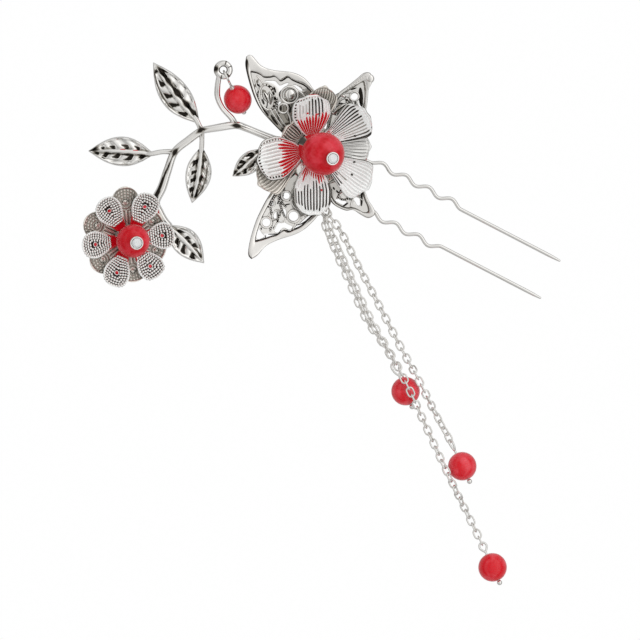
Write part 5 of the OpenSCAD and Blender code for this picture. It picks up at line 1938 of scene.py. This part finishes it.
        beside = np.minimum(np.maximum(beside * line, border), 1) * ramp(v, 0.96, 0.88)
        dusk = leaf.shadow * ramp(v, 0.8, 0.92) * ramp(u, 0.25, -0.1) * ramp(edge, 0.1, 0.25)
        # Painted shade: pockets between the veins, the line beside the midrib, the border and the tip.
        shade = max_of([np.minimum(own * 1.1, 1) * ramp(pocket, 0.2, 0.65), beside, dusk])
        low, high = leaf.red
        traces = np.exp(-((out - spine + 0.14) / 0.1) ** 2) * ramp(np.sin(v * 31), -0.2, 0.5)
        red = (v > low) * (v < high) * (u < 0) * traces
        body = leaf.base_z + (leaf.tip_z - leaf.base_z) * v + 0.5 * np.sin(math.pi * v) - 0.05 * out ** 2
        veins = 0.12 * np.cos(between * math.pi) * (1 - rim) * (1 - mid)
        ribs = self.rib * np.maximum(rim, mid * (1 - 0.3 * (out / spine) ** 2))
        top = body + ribs + 0.1 - 0.24 * pocket - veins - 0.12 * beside
        bottom = body - self.leaf_thickness * (0.55 + 0.45 * ramp(edge, 0, 0.4))
        return slab(np.dstack([flat, top]), np.dstack([flat, bottom]), {"shade": shade, "enamel": red})

    def rolled_end(self) -> Shell:
        """Rolled end of the twig, a thick ring with painted shade in dark lines on its left half and in its hole."""
        rolled = ring((self.curl - self.curl_wire) / 2, self.curl_wire, 72, 24)
        angle, far = bearing(rolled.points), np.linalg.norm(rolled.points[:, :2], axis=1)
        strokes = max_of(np.exp(-(apart(angle, at) / wide) ** 2)
                         for at, wide in ((172, 26), (70, 5), (-48, 7), (-105, 5), (25, 4)))
        rolled.values = {"shade": np.maximum(strokes * ramp(far, 0.9, 1.2), ramp(far, 0.95, 0.75) * 0.8)}
        return rolled.carried(shift(*self.curl_at))

    def foot(self) -> Shell:
        """Foot and disc under the small flower."""
        low = lathe([(0, 0), (1.85, 0), (2, 0.15), (2, 1.3), (2.2, 1.45), (2.9, 1.4), (3.0, 1.55), (3.0, 2.05),
                     (2.88, 2.2), (0, 2.2)], 48)
        return low.carried(shift(*SMALL.at, 0))

    def eye_plate(self) -> Shell:
        """Flat eye on the centre post, with its strap to the stem."""
        z0, t = self.eye_z, self.eye_thickness
        eye = lathe([(0.7, z0), (2.05, z0), (2.2, z0 + 0.15), (2.2, z0 + t - 0.15), (2.05, z0 + t), (0.7, z0 + t),
                     (0.7, z0)], 40)
        eye = eye.carried(shift(STACK.bend_x, STACK.stack_y, 0))
        start = np.array([STACK.bend_x - 1.1, STACK.stack_y, z0 + t / 2])
        end = moved(np.array([[-7.6, 3.5, z0 + t / 2]]), ORNAMENT)[0]
        strap = tube(resampled(np.array([start, end]), 10), np.linspace(1.1, 0.8, 10), 20, flat=0.42)
        return joined([eye, strap])

    def dress(self) -> None:
        """Make the branch's piece."""
        shells = [*self.stems(), *(self.leaf(leaf) for leaf in LEAVES), self.rolled_end(), self.foot()]
        shells = [s.carried(ORNAMENT) for s in shells] + [self.eye_plate()]
        dressed(piece_of("cast_branch", joined(shells), Finish.CAST, 50), "cast_silver", "branch")


# ---- small flower and berry


@dataclass
class SmallFlower:
    """Two layers of six spoon petals, the front ones set with rows of grains, with their post, bead and stone."""

    reach: float = 10.8
    width: float = 5.6
    hub: float = 3.0
    sheet: float = 0.4
    cup: float = 2.6
    back_cup: float = 1.6
    post: float = 1.0
    bead: float = 7.0
    eye_at: float = 0.6
    eye_room: float = 0.72
    sink: float = 0.02
    fit: float = 0.1
    lap: float = 0.2
    front: Pairs = ((7, 0.86), (67, 0.98), (127, 1), (187, 0.98), (247, 0.97), (307, 0.9))
    back: Pairs = ((37, 0.76), (97, 1.04), (157, 0.98), (217, 0.92), (277, 0.84), (337, 0.76))
    shape: Pairs = (
        (0, 0.42), (0.2, 0.55), (0.42, 0.85), (0.62, 1), (0.78, 0.98), (0.9, 0.88), (1, 0.68))

    def spot(self, u: Array, v: Array, cup: float, part: float) -> Array:
        """Place on a petal along X.

        Args:
            u: places across the petal, from -1 to 1.
            v: places along it, from 0 to 1.
            cup: how far its tip rises.
            part: its reach as a share of the whole.

        Returns:
            The points.
        """
        own = (self.reach * part - self.hub) / (self.reach - self.hub)
        along = self.hub + (self.reach - self.hub) * own * v * (1 - 0.1 * u * u * v)
        height = cup * (own * v) ** 1.5 + 0.5 * u * u * np.sin(math.pi * np.clip(v, 0, 1)) * (cup / self.cup)
        return xyz(along, self.width / 2 * share(self.shape, v) * u, height)

    def eye(self, cup: float, part: float) -> Array:
        """Place of the small ring on a petal."""
        return self.spot(np.array(0.0), np.array(self.eye_at), cup, part)

    def petal(self, cup: float, part: float, plain: bool) -> Shell:
        """One petal as a closed sheet with a raised rim.

        Args:
            cup: how far its tip rises.
            part: its reach as a share of the whole.
            plain: whether it is one of the layer behind.

        Returns:
            The petal.
        """
        v, u = grid(54, 57)
        top = self.spot(u, v, cup, part)
        half = self.width / 2 * share(self.shape, v)
        side_gap = (1 - np.abs(u)) * half
        gap = np.where(v > 0.4, np.minimum(side_gap, (1 - v) * (self.reach * part - self.hub)), side_gap)
        rim = 0.16 * np.exp(-((gap - 0.18) / 0.17) ** 2)
        bottom = top.copy()
        bottom[..., 2] -= self.sheet
        eye = top[..., :2] - self.eye(cup, part)[:2]
        far = np.linalg.norm(eye, axis=-1)
        if plain:
            ringed = 0.5 + 0.5 * np.cos(far * 2 * math.pi / 0.62)
            dots = 0.5 + 0.5 * np.cos(np.arctan2(eye[..., 1], eye[..., 0]) * np.round(far * 9))
            ribs = 0.5 + 0.5 * np.cos(top[..., 1] * 2 * math.pi / 0.8)
            relief = np.where(v > 0.34, ringed * dots, ribs)
            top[..., 2] += rim + 0.08 * relief * ramp(gap, 0.3, 0.45) + 0.14 * ramp(far, 0.45, 0.2)
            # Painted shade between the raised dots and rings, and a dark crescent beside the eye.
            low = (0.08 + 0.5 * (1 - relief)) * ramp(gap, 0.2, 0.4) * ramp(far, 0.4, 0.6)
            shade = np.maximum(low, 0.95 * ramp(np.abs(far - 0.55), 0.14, 0.05) * (eye[..., 0] > 0))
            return slab(top, bottom, {"shade": shade})
        top[..., 2] += rim
        red = ramp(v + 0.05 * np.cos(u * 9), 0.26, 0.14)
        # Painted shade on the ground between the grains, clear of the red enamel.
        shade = ramp(gap, 0.28, 0.36) * (1 - red)
        return slab(top, bottom, {"enamel": red, "shade": shade})

    def grains(self, cup: float, part: float) -> tuple[list[Array], list[float]]:
        """Matrices and sizes of the grains on one petal, in rows that follow its rim.

        Args:
            cup: how far its tip rises.
            part: its reach as a share of the whole.

        Returns:
            The matrices and the sizes.
        """
        places, sizes = [], []
        long = self.reach * part - self.hub
        for row in range(1, 9):
            inset = 0.3 + 0.54 * (row - 1)
            v = np.linspace(0.16, 1 - inset / long, 200)
            half = self.width / 2 * share(self.shape, v) - inset
            v, half = v[half > 0.05], half[half > 0.05]
            if len(v) < 3:
                break
            edge = np.stack([v * long, half], axis=1)
            path = np.concatenate([edge, (edge * [1, -1])[::-1]])
            count = max(4, round(runs(path)[-1] / 0.56))
            for x, y in resampled(path, count):
                at = np.array(x / long)
                place = self.spot(np.array(y / (self.width / 2 * float(share(self.shape, at)))), at, cup, part)
                if math.hypot(x - self.eye_at * long, y) > self.eye_room:
                    places.append(shift(*(place + [0, 0, 0.02])))
                    sizes.append(1.0 if row % 2 else 0.92)
        return places, sizes

    def dress(self, repeater: Repeater) -> None:
        """Make both layers, the post, the bead and the stone.

        Args:
            repeater: the tree that sets grains on points.
        """
        grain = lathe(arc(0.305, 0.12, 7), 8)
        before, beneath = (SMALL.on_post(z) @ ORNAMENT for z in (SMALL.front_z, SMALL.back_z))
        petals, dots, dot_sizes, rings, pips = [], [], [], [], []
        for turned, part in self.front:
            base = before @ turn("Z", turned)
            petals.append(self.petal(self.cup, part, False).carried(base))
            spots, sizes = self.grains(self.cup, part)
            dots += [base @ p for p in spots]
            dot_sizes += sizes
            eye = self.eye(self.cup, part)
            rings.append(base @ shift(*(eye + [0, 0, 0.12])) @ turn("Y", -22))
            pips.append(base @ shift(*(eye + [0, 0, 0.06])))
        hub = lathe([(0.6, -0.4), (3.1, -0.4), (3.2, -0.2), (3.1, 0.02), (0.6, 0.02), (0.6, -0.4)], 48)
        angle = bearing(hub.points)
        red = max_of(ramp(np.abs(apart(angle, turned)), 20, 15) for turned, _ in self.front)
        # Painted shade on the hub between the petals.
        hub.values = {"enamel": red, "shade": 0.5 * (1 - red)}
        layer = piece_of("spoon_petals", joined([*petals, hub.carried(before)]), Finish.PETAL, 60)
        grains = repeater.spread("spoon_grains", grain, dots, Finish.PLATE, dot_sizes)
        eyes = repeater.spread("spoon_rings", ring(0.46, 0.26, 20, 8), rings, Finish.PLATE)
        reds = repeater.spread("spoon_pips", grain, pips, Finish.CORAL, [1.2] * len(pips))
        dressed(merged("spoon_flower_front", [layer, grains, eyes, reds]), "enamelled_silver", "small_flower_front")
        behind = [self.petal(self.back_cup, part, True).carried(beneath @ turn("Z", turned))
                  for turned, part in self.back]
        # The hub behind gets an even painted shade.
        shell = joined([*behind, hub.toned(0.4).carried(beneath)])
        dressed(piece_of("spoon_flower_back", shell, Finish.SHADED, 60), "dull_silver", "small_flower_back")
        setting = StoneSetting()
        reach = SMALL.bead_z - SMALL.foot + self.bead / 2 - self.sink + self.fit
        base = SMALL.on_post(SMALL.foot)
        post = tube(xyz(0, 0, np.linspace(0.5, reach - 0.3, 16)), self.post / 2, 18, up=(1, 0, 0)).carried(base)
        seat = base @ shift(0, 0, reach + self.lap)
        cup = setting.cup().carried(seat)
        dressed(piece_of("small_post_and_cup", joined([post, cup]), Finish.PLATE), "pin_silver", "small_post")
        bead = drilled_ball(self.bead, self.post + 0.2).carried(SMALL.on_post(SMALL.bead_z))
        dressed(piece_of("small_flower_bead", bead, Finish.CORAL), "coral_bead", "small_bead")
        stone = setting.cut().carried(seat)
        dressed(piece_of("small_flower_stone", stone, Finish.STONE, 5), "clear_stone", "small_stone")


@dataclass
class Berry:
    """Small bead on a head pin whose loop hangs in the branch's rolled end."""

    at: Triple = (-16.5, 12.3, 3.1)
    bead: float = 6.0
    bore: float = 0.7
    pin: float = 0.5
    ball: float = 1.1

    def dress(self) -> None:
        """Make the bead and its pin."""
        at, curl = np.array(self.at), np.array(Branch.curl_at)
        side = unit((at - curl) * [1, 1, 0])
        way = curl + (Branch.curl - Branch.curl_wire) / 2 * side - at
        place = ORNAMENT @ shift(*at) @ aimed(way)
        loop_r = Branch.curl_wire / 2 + self.pin / 2 + 0.3
        reach = float(np.linalg.norm(way)) - 0.15
        loop = ring(loop_r, self.pin, 44, 12).carried(shift(0, 0, reach) @ turn("X", 90))
        wraps = [ring(self.pin * 0.72, self.pin * 0.5, 24, 8).carried(shift(0, 0, self.bead / 2 + 0.12 + 0.22 * k))
                 for k in range(3)]
        pin = head_pin(self.bead, self.pin, self.ball, reach - loop_r)
        metal = joined([pin, loop, *wraps]).carried(place)
        dressed(piece_of("berry_head_pin", metal, Finish.PLATE), "pin_silver", "berry_pin")
        bead = drilled_ball(self.bead, self.bore, 36, 56)
        bead.points = bead.points * [0.97, 0.97, 1.04]
        bead = bead.carried(place)
        dressed(piece_of("berry_coral", bead, Finish.BERRY), "coral_bead", "berry_bead")


# ---- studio


@dataclass
class Studio:
    """Bright white surface, soft surroundings and the camera straight above."""

    scale: float = 0.21
    frame_pixels: int = 640
    lens: float = 600.0
    sensor: float = 36.0
    centre: Pair = (16.3, -29.8)
    floor_glow: float = 0.6
    wall_glow: float = 0.4
    top_light: float = 0.3
    reach: float = 3.0
    below: float = 2e-5

    def floor(self) -> None:
        """White surface that shines evenly, as an overexposed table does."""
        material = bpy.data.materials.new("white surface")
        material.use_nodes = True
        tree = Tree(material.node_tree)
        material.node_tree.nodes.clear()
        tone = tree.ramp(tree.noise(900.0), [(0.3, (0.995, 0.995, 0.995)), (0.7, (1.0, 1.0, 1.0))])
        seen = tree.add("ShaderNodeLightPath").outputs["Is Camera Ray"]
        glow = tree.add("ShaderNodeEmission", Color=tone, Strength=tree.math("MAXIMUM", seen, self.floor_glow))
        tree.add("ShaderNodeOutputMaterial", i0=glow.outputs[0])
        mesh = bpy.data.meshes.new("surface")
        corners = ((-1, -1), (1, -1), (1, 1), (-1, 1))
        mesh.from_pydata([(x * self.reach, y * self.reach, -self.below) for x, y in corners], [], [(0, 1, 2, 3)])
        mesh.materials.append(material)
        linked("surface", mesh)

    def surroundings(self) -> None:
        """White tent, brightest at the right and at the top of the photograph, and grey towards the horizon."""
        world = bpy.data.worlds.new("studio")
        bpy.context.scene.world = world
        world.use_nodes = True
        tree = Tree(world.node_tree)
        world.node_tree.nodes.clear()
        way = tree.add("ShaderNodeTexCoord").outputs["Generated"]
        a = math.radians(LAY_TURN)

        def along(x: float, y: float, z: float) -> Socket:
            """Share of the direction along an axis."""
            return tree.add("ShaderNodeVectorMath", {"operation": "DOT_PRODUCT"}, i0=way, i1=(x, y, z)).outputs["Value"]

        right = along(math.cos(a), math.sin(a), 0)
        ahead = along(-math.sin(a), math.cos(a), 0)
        height = along(0, 0, 1)
        swing = tree.add("ShaderNodeMapRange", Value=tree.math("ARCTAN2", right, height), From_Min=-math.pi / 2,
                         From_Max=math.pi / 2).outputs[0]
        level = tree.ramp(swing, [((angle + 90) / 180, (tone / TENT_PEAK,) * 3) for angle, tone in TENT])
        level = tree.math("MULTIPLY", level, tree.math("ADD", TENT_PEAK, tree.math("MULTIPLY", ahead, self.top_light)))
        level = tree.math("MULTIPLY", level, tree.step(height, 0.02, 0.4, self.wall_glow, 1.0))
        level = tree.math("MAXIMUM", level, tree.add("ShaderNodeLightPath").outputs["Is Camera Ray"])
        glow = tree.add("ShaderNodeBackground", Color=(1.0, 0.997, 0.99, 1.0), Strength=level)
        tree.add("ShaderNodeOutputWorld", i0=glow.outputs[0])

    def camera(self) -> None:
        """Camera over the middle of the photograph, turned with the ornament."""
        width = self.scale * self.frame_pixels
        data = bpy.data.cameras.new("camera")
        data.lens, data.sensor_width = self.lens, self.sensor
        data.clip_start, data.clip_end = 0.01, 20.0
        made = linked("camera", data)
        made.location = Vector((*self.centre, width * self.lens / self.sensor)) * MM
        made.rotation_euler = (0, 0, math.radians(LAY_TURN))
        bpy.context.scene.camera = made

    def set_up(self) -> None:
        """Make the surface, the surroundings and the camera."""
        self.floor()
        self.surroundings()
        self.camera()
        view = bpy.context.scene.view_settings
        view.view_transform = "Standard"


# ---- the whole


def main() -> None:
    """Build the pieces in order, from the fork outwards, and the studio round them."""
    logging.basicConfig(level=logging.INFO, format="%(message)s")
    repeater = Repeater("spread on points")
    HairFork().dress()
    CentreStack().dress()
    Butterfly().dress(repeater)
    LargeFlower().dress()
    Branch().dress()
    SmallFlower().dress(repeater)
    Berry().dress()
    ChainSet().dress(repeater)
    Studio().set_up()


if __name__ == "__main__":
    main()
